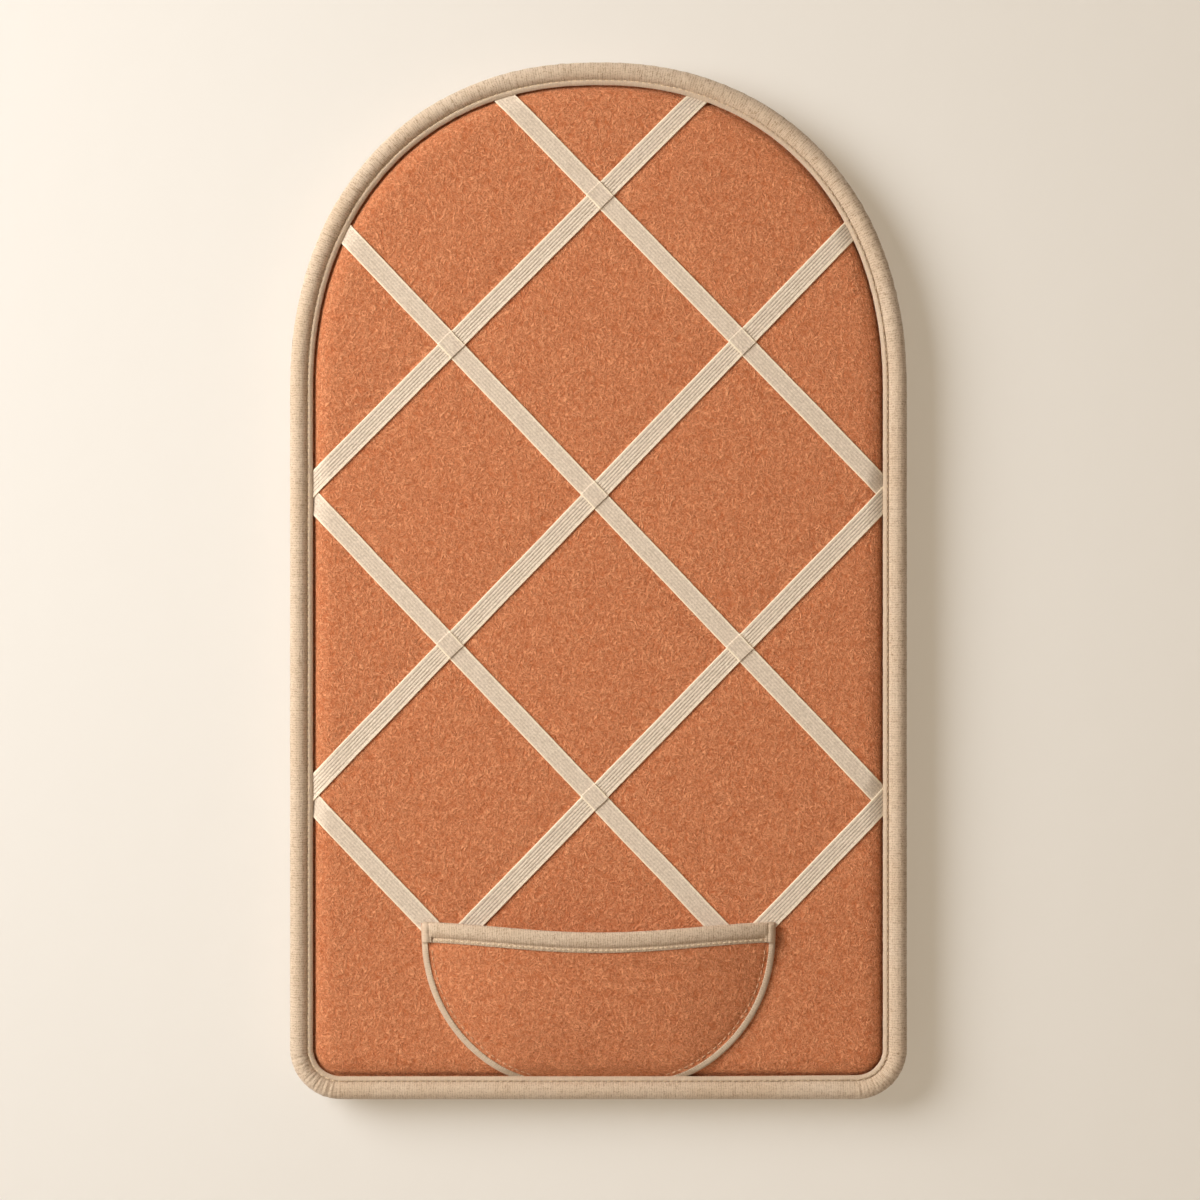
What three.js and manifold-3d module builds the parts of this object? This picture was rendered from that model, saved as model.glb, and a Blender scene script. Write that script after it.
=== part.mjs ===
// Wall memo board: an arched board padded with foam and covered in wool felt, edged with a fabric roll.
// Eight elastic straps cross over the felt to hold cards and photos, and a half-round pocket is sewn
// on at the bottom. Two plates with swinging rings on the back hang it on the wall.
// Millimetres. +X is to the right and +Z up, and the felt looks along -Y. The origin is on the wall,
// midway between the two hooks. Inside the board's own group, distances called "front" are measured
// forwards from the flat rear face of the back cover, and z from half the board's height.
import * as THREE from 'three';
import { mergeVertices } from 'three/addons/utils/BufferGeometryUtils.js';
import Module from 'manifold-3d';

// The board's outline, to the outside of the edge roll
const boardWidth = 357;
const boardHeight = 600;
const archRise = 191;
const archExponent = 2.2;
const bottomCornerRadius = 29.5;

// Clearances
const seat = 0.3;
const sharpestCorner = 0.8;
const overrun = 2;

// Layers from the back to the front
const coverThickness = 2;
const coreThickness = 9;
const foamThickness = 5;
const feltThickness = 3;
const crownWidth = 11;
const crownShare = 0.76;
const crownRingShares = [0, 0.14, 0.32, 0.6, 1];

// Edge roll: a foam cord in a woven strip, with a sewn flange in front and a stapled hem behind
const fabricThickness = 0.8;
const flangeWidth = 2.7;
const rollWidth = 10.6;
const rollProud = 1.5;
const rollSetback = 0.2;
const cordChamfer = 1.5;
const hemInset = 11;
const skirtBevel = 0.8;

// Staples that hold the hem
const stapleCount = 16;
const stapleLength = 9;
const stapleWire = 0.5;
const stapleBand = 1;
const stapleLeg = 6;
const stapleInset = 4.5;

// Elastic straps, listed from the top down: heights on the board's middle line as shares of the
// pitch, and slopes as shares of the slope of the diamonds
const strapWidth = 11.3;
const strapThickness = 0.9;
const strapPitchShare = 0.29083;
const strapSpreadShare = 0.4888;
const strapTuck = 2;
const strapRamp = 5;
const crossingMargin = 1;
const endZone = 21;
const grooveShare = 0.9;
const downHeightShares = [1.28, 0.269, -0.73, -1.729];
const upHeightShares = [1.269, 0.297, -0.704, -1.708];
const downSlopeShares = [1.03, 1.051, 1.052, 1.05];
const upSlopeShares = [1.003, 1.037, 1.029, 1.034];

// Pocket
const pocketHalfWidth = 103;
const pocketDepth = 98.8;
const pocketExponent = 2.15;
const pocketRise = 87.8;
const mouthEndRise = 2;
const mouthDip = 6.1;
const pocketBulge = 12;
const pocketFelt = 1.6;
const pocketTuckFelt = 0.9;
const pocketDive = 6;
const innerStrapTuck = 15;
const cornerStrapTuck = 5.6;
const cornerBlend = 9;
const pocketSeam = 1.2;

// Woven trim of the pocket
const trimThickness = 0.6;
const mouthBand = 11.6;
const mouthRollHeight = 8.7;
const mouthRollThickness = 1.8;
const edgeBand = 4.6;
const edgingReachShare = 0.86;
const tabWidth = 6;
const tabHeight = 13;

// Hangers on the back
const hangerSpacing = 180;
const hangerDrop = 150;
const plateWidth = 14;
const plateLength = 34;
const plateThickness = 1.2;
const plateCorner = 3;
const barrelLength = 9;
const barrelWall = 1.3;
const ringWire = 2.4;
const ringClearance = 0.4;
const ringHalfWidth = 9.8;
const ringHeight = 16;
const ringCorner = 2.4;
const plateScrewOffsets = [11, 26];

// Screws and bumpers
const plateScrew = { shank: 3, head: 6.4, headHeight: 2, length: 9 };
const coverScrew = { shank: 2.4, head: 5, headHeight: 1.4, length: 8 };
const coverScrewInset = 20;
const coverScrewAngleShares = [0.28, 0.72];
const coverScrewHeightShares = [0.14, -0.12, -0.37];
const bumperRadius = 6;
const bumperHeight = 6;
const bumperInset = 25;

// Facets
const archSteps = 32;
const cornerSteps = 4;
const boreSides = 8;
const barrelSides = 12;
const wireSides = 8;

// Sizes that follow from those above
const border = flangeWidth + rollWidth;
const openingHalfWidth = boardWidth / 2 - border;
const openingTop = boardHeight / 2 - border;
const openingBottom = border - boardHeight / 2;
const openingCornerRadius = bottomCornerRadius - border;
const springHeight = boardHeight / 2 - archRise;
const archHeight = openingTop - springHeight;
const pocketHeight = openingBottom + pocketRise;
const hangerHeight = boardHeight / 2 - hangerDrop;

const strapPitch = boardHeight * strapPitchShare;
const strapSlope = strapPitch / (boardWidth * strapSpreadShare);

const coreFront = coverThickness + coreThickness;
const foamFront = coreFront + foamThickness;
const feltFront = foamFront + seat + feltThickness;
const crownRise = foamThickness * crownShare;
const rimFront = feltFront - crownRise;
const flangeRear = rimFront + strapThickness + 2 * seat;
const flangeFront = flangeRear + fabricThickness;

const skirtOuter = flangeWidth - seat;
const skirtInner = skirtOuter - feltThickness;
const coreEdge = skirtInner - seat;
const hemRear = coverThickness + seat + stapleWire + seat / 2;
const hemFront = hemRear + fabricThickness;
const rebateFront = hemFront + seat;
const rebateInset = hemInset + seat;

const rollRadius = rollWidth / 2;
const rollMiddle = flangeWidth + rollRadius;
const rollFrontCentre = feltFront + rollProud - rollRadius;
const rollRearCentre = rollSetback + rollRadius;
const cordRadius = rollRadius - fabricThickness - seat;

const bothSides = [-1, 1];

const wasm = await Module();
wasm.setup();

// Finishes

const finish = (color, roughness, metalness = 0) => () =>
  new THREE.MeshStandardMaterial({ color, roughness, metalness });
const feltFinish = finish(0xc5764c, 0.95);
const bindingFinish = finish(0xcdb28f, 0.9);
const strapFinish = finish(0xdcc8a8, 0.8);
const boardFinish = finish(0xa98a63, 0.85);
const coverFinish = finish(0x6f6a62, 0.9);
const foamFinish = finish(0xe9e4d4, 0.95);
const steelFinish = finish(0xb9bcc0, 0.35, 1);
const bumperFinish = finish(0x3b3836, 0.8);

// General mesh helpers

function point(x, front, z) {
  return new THREE.Vector3(x, -front, z);
}

// Turns the faces of a closed body outwards, judged by the sign of its volume
function facingOut(geometry) {
  const place = geometry.getAttribute('position');
  const index = geometry.getIndex().array;
  const corner = [0, 1, 2].map(() => new THREE.Vector3());
  let volume = 0;
  for (let i = 0; i < index.length; i += 3) {
    corner.forEach((vector, k) => vector.fromBufferAttribute(place, index[i + k]));
    volume += corner[0].dot(corner[1].clone().cross(corner[2]));
  }
  if (volume < 0) {
    for (let i = 0; i < index.length; i += 3) {
      [index[i], index[i + 1]] = [index[i + 1], index[i]];
    }
  }
  geometry.computeVertexNormals();
  return geometry;
}

// Joins equal rings of points into one body. A cap outline closes both ends; without it the rings
// run round to the first one again.
function loft(rings, capOutline = null) {
  const count = rings[0].length;
  const index = [];
  const spans = capOutline ? rings.length - 1 : rings.length;
  for (let i = 0; i < spans; i++) {
    const near = i * count;
    const far = ((i + 1) % rings.length) * count;
    for (let k = 0; k < count; k++) {
      const next = (k + 1) % count;
      index.push(near + k, near + next, far + next, near + k, far + next, far + k);
    }
  }
  if (capOutline) {
    const last = (rings.length - 1) * count;
    const clockwise = THREE.ShapeUtils.isClockWise(capOutline);
    for (const [a, b, c] of THREE.ShapeUtils.triangulateShape(capOutline, [])) {
      const [second, third] = clockwise ? [c, b] : [b, c];
      index.push(third, second, a);
      index.push(last + a, last + second, last + third);
    }
  }
  const geometry = new THREE.BufferGeometry().setFromPoints(rings.flat());
  geometry.setIndex(index);
  return facingOut(geometry);
}

function toSolid(geometry) {
  const bare = geometry.clone();
  bare.deleteAttribute('normal');
  bare.deleteAttribute('uv');
  const merged = mergeVertices(bare);
  return new wasm.Manifold(new wasm.Mesh({
    numProp: 3,
    vertProperties: merged.getAttribute('position').array,
    triVerts: new Uint32Array(merged.getIndex().array),
  }));
}

function toGeometry(solid) {
  const mesh = solid.getMesh();
  const geometry = new THREE.BufferGeometry();
  geometry.setAttribute('position', new THREE.BufferAttribute(mesh.vertProperties, mesh.numProp));
  geometry.setIndex(new THREE.BufferAttribute(mesh.triVerts, 1));
  geometry.computeVertexNormals();
  return geometry;
}

function cut(geometry, cutters) {
  const solid = cutters.reduce((body, cutter) => body.subtract(toSolid(cutter)), toSolid(geometry));
  return toGeometry(solid);
}

// A round cutter along Y between two distances in front of the cover's rear face
function bore(x, z, radius, fromFront, toFront) {
  const geometry = new THREE.CylinderGeometry(radius, radius, toFront - fromFront, boreSides);
  return geometry.translate(x, -(fromFront + toFront) / 2, z);
}

function smooth(value, low, high) {
  return THREE.MathUtils.smoothstep(value, low, high);
}

// The edge line: the inner edge of the flange. Offsets run outwards from it.

function archPoint(angle, offset) {
  const across = Math.cos(angle);
  const up = Math.sin(angle);
  const x = openingHalfWidth * Math.sign(across) * Math.abs(across) ** (2 / archExponent);
  const z = archHeight * Math.abs(up) ** (2 / archExponent);
  const normal = new THREE.Vector2(
    Math.sign(x) * Math.abs(x / openingHalfWidth) ** (archExponent - 1) / openingHalfWidth,
    (z / archHeight) ** (archExponent - 1) / archHeight,
  ).normalize();
  return new THREE.Vector2(x + normal.x * offset, springHeight + z + normal.y * offset);
}

// The edge line at an offset, anticlockwise from the right-hand spring of the arch
function edgeLine(offset) {
  const outline = [];
  for (let i = 0; i <= archSteps; i++) {
    outline.push(archPoint(Math.PI * i / archSteps, offset));
  }
  const radius = Math.max(openingCornerRadius + offset, sharpestCorner);
  const centreX = openingHalfWidth + offset - radius;
  const centreZ = openingBottom - offset + radius;
  for (const [side, start] of [[-1, Math.PI], [1, 1.5 * Math.PI]]) {
    for (let i = 0; i <= cornerSteps; i++) {
      const angle = start + Math.PI / 2 * i / cornerSteps;
      const x = side * centreX + radius * Math.cos(angle);
      outline.push(new THREE.Vector2(x, centreZ + radius * Math.sin(angle)));
    }
  }
  return outline;
}

function edgeRing(offset, front) {
  return edgeLine(offset).map((place) => point(place.x, front, place.y));
}

// A layer of the board, as rings given by offset and front, closed by a flat face at each end
function layer(section) {
  const rings = section.map(([offset, front]) => edgeRing(offset, front));
  return loft(rings, edgeLine(0));
}

// A strip of constant section round the whole edge
function edgeStrip(section) {
  return loft(section.map(([offset, front]) => edgeRing(offset, front)));
}

const openingLine = edgeLine(0);

// How far a place on the face lies inside the edge line
function insetAt(x, z) {
  let inset = Infinity;
  openingLine.forEach((start, i) => {
    const end = openingLine[(i + 1) % openingLine.length];
    const length = start.distanceTo(end);
    const across = (end.x - start.x) * (z - start.y) - (end.y - start.y) * (x - start.x);
    inset = Math.min(inset, across / length);
  });
  return inset;
}

// The felt rises from its sewn rim to the flat of the padded face
function feltFrontAtInset(inset) {
  const share = THREE.MathUtils.clamp(inset / crownWidth, 0, 1);
  return rimFront + crownRise * (1 - (1 - share) ** 2);
}

function feltFrontAt(x, z) {
  return feltFrontAtInset(insetAt(x, z));
}

// Points of an arc in the section of the edge: offset across, front up
function arc(offset, front, radius, from, to, steps) {
  const points = [];
  for (let i = 0; i <= steps; i++) {
    const angle = from + (to - from) * i / steps;
    points.push([offset + radius * Math.cos(angle), front + radius * Math.sin(angle)]);
  }
  return points;
}

// Screws

function screwBody({ shank, head, headHeight, length }) {
  const profile = [
    [0, -length],
    [shank / 4, -length],
    [shank / 2, -length + shank / 2],
    [shank / 2, 0],
    [head / 2, 0],
    [head / 2, headHeight / 2],
    [head / 3, headHeight],
    [0, headHeight],
  ].map(([radius, height]) => new THREE.Vector2(radius, height));
  const turned = new THREE.LatheGeometry(profile, boreSides);
  turned.deleteAttribute('normal');
  turned.deleteAttribute('uv');
  return facingOut(mergeVertices(turned));
}

const plateScrewPlaces = bothSides.flatMap((side) => plateScrewOffsets.map((offset) => ({
  x: side * hangerSpacing / 2,
  z: hangerHeight - offset,
})));

const coverScrewPlaces = [
  ...coverScrewAngleShares.map((share) => archPoint(Math.PI * share, -coverScrewInset)),
  ...bothSides.flatMap((side) => coverScrewHeightShares.map((share) =>
    new THREE.Vector2(side * (openingHalfWidth - coverScrewInset), share * boardHeight))),
].map((place) => ({ x: place.x, z: place.y }));

function screwBores(screw, places, fromFront, toFront) {
  return places.map(({ x, z }) => bore(x, z, screw.shank / 2 + seat, fromFront, toFront));
}

// Staples round the hem

const staplePlaces = (() => {
  const line = new THREE.Path(edgeLine(-stapleInset));
  line.closePath();
  return Array.from({ length: stapleCount }, (_, i) => {
    const share = (i + 0.5) / stapleCount;
    const middle = line.getPointAt(share);
    const along = line.getTangentAt(share);
    return { middle, turn: -Math.atan2(along.y, along.x) };
  });
})();

function stapleAt({ middle, turn }) {
  const half = stapleLength / 2;
  const legEnd = stapleWire + stapleLeg;
  const outline = new THREE.Shape([
    [-half, 0],
    [half, 0],
    [half, legEnd],
    [half - stapleWire, legEnd],
    [half - stapleWire, stapleWire],
    [stapleWire - half, stapleWire],
    [stapleWire - half, legEnd],
    [-half, legEnd],
  ].map(([along, depth]) => new THREE.Vector2(along, -depth)));
  const body = new THREE.ExtrudeGeometry(outline, { depth: stapleBand, bevelEnabled: false });
  const crownFront = coverThickness + seat;
  return body.translate(0, 0, -stapleBand / 2).rotateY(turn).translate(middle.x, -crownFront, middle.y);
}

// The holes that a staple's two legs make
function stapleHoles({ middle, turn }) {
  const depth = stapleWire + stapleLeg + seat + overrun;
  return bothSides.map((side) => {
    const along = side * (stapleLength - stapleWire) / 2;
    const hole = new THREE.BoxGeometry(stapleWire + seat, depth, stapleBand + seat);
    hole.translate(along, overrun - depth / 2, 0).rotateY(turn);
    return hole.translate(middle.x, -(coverThickness + seat), middle.y);
  });
}

// Layers

function coreBoard() {
  const body = layer([
    [-rebateInset, coverThickness],
    [-rebateInset, rebateFront],
    [coreEdge, rebateFront],
    [coreEdge, coreFront],
  ]);
  return cut(body, [
    ...screwBores(plateScrew, plateScrewPlaces, 0, plateScrew.length + seat),
    ...screwBores(coverScrew, coverScrewPlaces, 0, coverScrew.length + seat),
    ...staplePlaces.flatMap(stapleHoles),
  ]);
}

function backCover() {
  const body = layer([[skirtOuter, 0], [skirtOuter, coverThickness]]);
  const through = coverThickness + overrun;
  return cut(body, [
    ...screwBores(plateScrew, plateScrewPlaces, -overrun, through),
    ...screwBores(coverScrew, coverScrewPlaces, -overrun, through),
  ]);
}

// The padded crown as rings from the rim to the flat of the face, set back by the given depth
function crownRings(setback, firstInset) {
  const insets = crownRingShares.map((share) => Math.max(share * crownWidth, firstInset));
  return insets.map((inset) => [-inset, feltFrontAtInset(inset) - setback]);
}

function foamPad() {
  return layer([
    [coreEdge, coreFront],
    ...crownRings(feltThickness + seat, -coreEdge),
  ]);
}

function faceFelt() {
  const body = layer([
    ...crownRings(feltThickness, -skirtInner).reverse(),
    [skirtInner, rebateFront],
    [skirtOuter, rebateFront],
    [skirtOuter, rimFront - skirtBevel],
    [skirtOuter - skirtBevel, rimFront],
    ...crownRings(0, 0),
  ]);
  return cut(body, strapGrooves());
}

// Edge roll

function edgeCord() {
  return edgeStrip([
    ...arc(rollMiddle, rollFrontCentre, cordRadius, 0, Math.PI, 5),
    [flangeWidth, rollFrontCentre - cordChamfer],
    [flangeWidth, rollRearCentre + cordChamfer],
    ...arc(rollMiddle, rollRearCentre, cordRadius, Math.PI, 2 * Math.PI, 5),
  ]);
}

function edgeBinding() {
  const innerRadius = rollRadius - fabricThickness;
  const frontOuter = Math.asin((flangeFront - rollFrontCentre) / rollRadius);
  const frontInner = Math.asin((flangeRear - rollFrontCentre) / innerRadius);
  const rearOuter = Math.asin((rollRearCentre - hemRear) / rollRadius);
  const rearInner = Math.asin((rollRearCentre - hemFront) / innerRadius);
  const body = edgeStrip([
    [0, flangeRear],
    [0, flangeFront],
    ...arc(rollMiddle, rollFrontCentre, rollRadius, Math.PI - frontOuter, 0, 7),
    ...arc(rollMiddle, rollRearCentre, rollRadius, 0, rearOuter - Math.PI, 5),
    [-hemInset, hemRear],
    [-hemInset, hemFront],
    ...arc(rollMiddle, rollRearCentre, innerRadius, rearInner - Math.PI, 0, 4),
    ...arc(rollMiddle, rollFrontCentre, innerRadius, 0, Math.PI - frontInner, 5),
  ]);
  return cut(body, staplePlaces.flatMap(stapleHoles));
}

// Straps. Each runs from left to right along a straight line over the felt.

const mouthEndHeight = pocketHeight + mouthEndRise;
const pocketTucks = {
  down: [{}, {}, { right: innerStrapTuck }, { right: cornerStrapTuck }],
  up: [{}, {}, { left: innerStrapTuck }, { left: cornerStrapTuck }],
};

function strapLine(kind, number) {
  const down = kind === 'down';
  const slope = strapSlope * (down ? -downSlopeShares[number] : upSlopeShares[number]);
  const height = strapPitch * (down ? downHeightShares : upHeightShares)[number];
  const along = new THREE.Vector2(1, slope).normalize();
  return {
    name: `strap_${kind}_${number + 1}`,
    down,
    origin: new THREE.Vector2(0, height),
    along,
    across: new THREE.Vector2(-along.y, along.x),
    tucks: pocketTucks[kind][number],
  };
}

const strapNumbers = downHeightShares.map((_, number) => number);
const downStraps = strapNumbers.map((number) => strapLine('down', number));
const upStraps = strapNumbers.map((number) => strapLine('up', number));

function placeOnStrap(strap, run, side) {
  return strap.origin.clone().addScaledVector(strap.along, run).addScaledVector(strap.across, side);
}

const tuckLine = edgeLine(strapTuck);

// The runs at which a line along the strap meets one of the board's edge lines
function edgeRuns(strap, side, line) {
  const runs = [];
  line.forEach((start, i) => {
    const end = line[(i + 1) % line.length];
    const from = start.clone().sub(placeOnStrap(strap, 0, side));
    const to = end.clone().sub(placeOnStrap(strap, 0, side));
    const fromSide = from.dot(strap.across);
    const toSide = to.dot(strap.across);
    if ((fromSide < 0) !== (toSide < 0)) {
      runs.push(from.lerp(to, fromSide / (fromSide - toSide)).dot(strap.along));
    }
  });
  return { left: Math.min(...runs), right: Math.max(...runs) };
}

// The run at which a line along the strap comes down to the height where it is tacked in the pocket
function tackRun(strap, side, tuck) {
  const start = placeOnStrap(strap, 0, side);
  return (mouthEndHeight - tuck - start.y) / strap.along.y;
}

// A strap's stations at one end, from the end inwards: each gives the run for a line along the strap
const endRunShares = [0, 1 / 6, 2 / 6, 3 / 6, 4 / 6, 5 / 6, 1];

function endStations(strap, end) {
  const inward = end === 'left' ? endZone : -endZone;
  const tuck = strap.tucks[end];
  if (tuck) {
    return endRunShares.map((share) => (side) => tackRun(strap, side, tuck) + share * inward);
  }
  return [
    (side) => edgeRuns(strap, side, tuckLine)[end],
    ...endRunShares.map((share) => (side) => edgeRuns(strap, side, openingLine)[end] + share * inward),
  ];
}

// Crossings along a down strap. In the field it rides over the up strap. At the rim, where the two
// strap ends meet, it is pressed into the felt under the other one.
function crossings(strap) {
  if (!strap.down) {
    return [];
  }
  const left = endStations(strap, 'left')[0](0);
  const right = endStations(strap, 'right')[0](0);
  const found = [];
  for (const other of upStraps) {
    const gap = other.origin.clone().sub(strap.origin);
    const run = gap.dot(other.across) / strap.along.dot(other.across);
    const end = run < left + strapWidth ? 'left' : 'right';
    const pastEnd = end === 'left' ? left - run : run - right;
    const atEnd = pastEnd > -strapWidth;
    if (pastEnd < strapWidth && !(atEnd && strap.tucks[end])) {
      const lift = atEnd ? -strapThickness - 2 * seat : strapThickness + seat;
      found.push({ run, end, atEnd, lift });
    }
  }
  return found;
}

const crossingHalf = strapWidth / 2 + crossingMargin;

function strapLift(strap, run) {
  return crossings(strap).reduce((lift, crossing) => {
    const away = Math.abs(run - crossing.run);
    return lift + crossing.lift * (1 - smooth(away, crossingHalf, crossingHalf + strapRamp));
  }, 0);
}

// The stations of a strap: close together near its ends and at each ramp of a crossing
function strapStations(strap) {
  const middle = crossings(strap)
    .filter((crossing) => !crossing.atEnd)
    .sort((a, b) => a.run - b.run)
    .flatMap(({ run }) => [
      run - crossingHalf - strapRamp,
      run - crossingHalf,
      run + crossingHalf,
      run + crossingHalf + strapRamp,
    ])
    .map((run) => () => run);
  return [...endStations(strap, 'left'), ...middle, ...endStations(strap, 'right').reverse()];
}

// The strap between some of its stations. As a cutter it is swollen on every side by a clearance and
// reaches further up, out of the felt.
function strapBody(strap, stations, swell = 0, above = 0) {
  const sides = [-1, 0, 1].map((share) => share * (strapWidth / 2 + swell));
  const rings = stations.map((station) => {
    const places = sides.map((side) => {
      const run = station(side);
      const place = placeOnStrap(strap, run, side);
      const under = feltFrontAt(place.x, place.y) + seat - swell + strapLift(strap, run);
      return { place, under };
    });
    const lower = places.map(({ place, under }) => point(place.x, under, place.y));
    const thick = strapThickness + 2 * swell + above;
    const upper = places.map(({ place, under }) => point(place.x, under + thick, place.y));
    return [...lower, ...upper.reverse()];
  });
  const half = strapWidth / 2;
  const outline = [
    [-half, 0], [0, 0], [half, 0],
    [half, strapThickness], [0, strapThickness], [-half, strapThickness],
  ].map(([across, up]) => new THREE.Vector2(across, up));
  return loft(rings, outline);
}

// Shallow grooves that the lower strap ends press into the felt where two ends meet at the rim
function strapGrooves() {
  const swell = seat * grooveShare;
  return downStraps.flatMap((strap) => crossings(strap).filter(({ atEnd }) => atEnd).map(({ end }) => {
    const stations = endStations(strap, end);
    const outward = end === 'left' ? -overrun : overrun;
    const all = [(side) => stations[0](side) + outward, ...stations];
    return strapBody(strap, end === 'left' ? all : all.reverse(), swell, overrun);
  }));
}

// Pocket

function pocketRim(angle, inset) {
  const x = Math.cos(angle);
  const z = Math.sin(angle);
  const power = 2 / pocketExponent;
  return new THREE.Vector2(
    (pocketHalfWidth - inset) * Math.sign(x) * Math.abs(x) ** power,
    pocketHeight - (pocketDepth - inset) * Math.abs(z) ** power,
  );
}

function mouthHeightAt(x) {
  const share = x / pocketHalfWidth;
  return mouthEndHeight - mouthDip * (1 - share ** 2);
}

// The top of the pocket rides over the strap ends that are caught under its corners
function cornerLift(z) {
  const liftedAbove = mouthEndHeight - mouthDip - mouthBand;
  return (strapThickness + seat) * smooth(z, liftedAbove - cornerBlend, liftedAbove);
}

const panelInset = trimThickness + seat;
const panelSideColumns = 11;
const panelBottomColumns = 8;
const panelRowShares = [0, 0.16, 0.32, 0.48, 0.64, 0.76, 0.84, 0.9, 0.95, 1];
const panelBottom = openingBottom - strapTuck;

// The seam line above the rim of the panel, below which the panel lies flat on the face felt
function seamHeight(rimZ) {
  return Math.max(rimZ, openingBottom) + pocketSeam;
}

// How far the inside of the pocket stands off the face felt
function bulgeAt(x, z) {
  const panelHalfWidth = pocketHalfWidth - panelInset;
  const across = Math.min(Math.abs(x) / panelHalfWidth, 1);
  const rimShare = (1 - across ** pocketExponent) ** (1 / pocketExponent);
  const rimDepth = (pocketDepth - panelInset) * rimShare;
  const seam = seamHeight(pocketHeight - rimDepth);
  const top = mouthHeightAt(x);
  const share = THREE.MathUtils.clamp((top - z) / (top - seam), 0, 1);
  return pocketBulge * (1 - across ** 2) * (1 - share ** 2);
}

function pocketBaseAt(x, z) {
  return feltFrontAt(x, z) + seat + cornerLift(z) + bulgeAt(x, z);
}

function pocketColumn(x, rimZ) {
  const top = mouthHeightAt(x) - panelInset;
  const seam = seamHeight(rimZ);
  const heights = panelRowShares.map((share) => THREE.MathUtils.lerp(top, seam, share));
  const hem = Math.max(rimZ + pocketSeam / 3, openingBottom + seat);
  const places = [...heights, hem, Math.max(rimZ, panelBottom)].map((z) => {
    const under = pocketBaseAt(x, z);
    const thickness = THREE.MathUtils.lerp(pocketTuckFelt, pocketFelt, smooth(insetAt(x, z), 0, pocketDive));
    return { z, under, over: under + thickness };
  });
  const back = places.map(({ z, under }) => point(x, under, z));
  const front = places.map(({ z, over }) => point(x, over, z));
  return [...back, ...front.reverse()];
}

// Angles of the panel's columns, with one at each place where its rim passes under the flange
function columnAngles() {
  const depthShare = Math.min((pocketHeight - openingBottom) / (pocketDepth - panelInset), 1);
  const dive = Math.asin(depthShare ** (pocketExponent / 2));
  const between = (from, to, steps) =>
    Array.from({ length: steps }, (_, i) => from + (to - from) * i / steps);
  const bottom = depthShare < 1 ? between(dive, Math.PI - dive, panelBottomColumns) : [];
  const right = between(0, dive, panelSideColumns);
  const left = between(Math.PI - dive, Math.PI, panelSideColumns);
  return [...right, ...bottom, ...left, Math.PI];
}

function pocketPanel() {
  const angles = columnAngles();
  const rings = angles.map((angle, i) => {
    const rim = pocketRim(angle, panelInset);
    const atEnd = i === 0 || i === angles.length - 1;
    return pocketColumn(rim.x, rim.y - (atEnd ? panelInset : 0));
  });
  const outline = rings[0].map((place) => new THREE.Vector2(place.z, place.y));
  return loft(rings, outline);
}

// Woven tape folded over the mouth, with a padded roll along the top of its front
const mouthSteps = 24;

function mouthBinding() {
  const slot = pocketFelt + seat;
  const low = -mouthBand;
  const roll = slot + trimThickness + mouthRollThickness;
  const rollEnd = -mouthRollHeight;
  const rollSoft = mouthRollThickness / 2;
  const section = [
    [-seat - trimThickness, low],
    [-seat, low],
    [-seat, -trimThickness],
    [slot, -trimThickness],
    [slot, low],
    [slot + trimThickness, low],
    [slot + trimThickness, rollEnd],
    [roll - rollSoft, rollEnd + rollSoft],
    [roll, rollEnd + 2 * rollSoft],
    [roll, -2 * rollSoft],
    [roll - rollSoft, -rollSoft / 2],
    [slot, 0],
    [0, 0],
    [-seat - trimThickness, -trimThickness],
  ];
  const drop = (mouthBand - mouthEndRise) / pocketDepth;
  const rimHalf = pocketHalfWidth * (1 - drop ** pocketExponent) ** (1 / pocketExponent);
  const half = rimHalf - tabWidth - 2 * seat;
  const rings = [];
  for (let i = 0; i <= mouthSteps; i++) {
    const x = -half + 2 * half * i / mouthSteps;
    const top = mouthHeightAt(x);
    rings.push(section.map(([out, up]) => {
      const z = top + up;
      return point(x, pocketBaseAt(x, z) + out, z);
    }));
  }
  return loft(rings, section.map(([out, up]) => new THREE.Vector2(out, up)));
}

// Woven edging over the curved raw edge of the panel, turned down to the face felt and widened into
// a tab at the mouth. It stops at the flange of the board's own edge.
const edgingSteps = 16;
const tabSteps = 3;
const edgingEndAngle = Math.PI / 2 * edgingReachShare;

function edgingStation(outer, inward, z) {
  const tabEnd = mouthEndHeight - tabHeight;
  const band = THREE.MathUtils.lerp(edgeBand, tabWidth, smooth(z, tabEnd - edgeBand, tabEnd));
  const slot = pocketFelt + seat;
  const section = [
    [0, 0],
    [trimThickness, 0],
    [trimThickness, slot],
    [band / 2, slot],
    [band, slot],
    [band, slot + trimThickness],
    [band / 2, slot + trimThickness],
    [0, slot],
  ];
  return section.map(([along, up]) => {
    const x = outer.x + inward.x * along;
    const place = outer.y + inward.y * along;
    const rise = bulgeAt(x, place) * Math.min(up / slot, 1);
    return point(x, feltFrontAt(x, place) + seat + cornerLift(place) + rise + up, place);
  });
}

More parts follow.
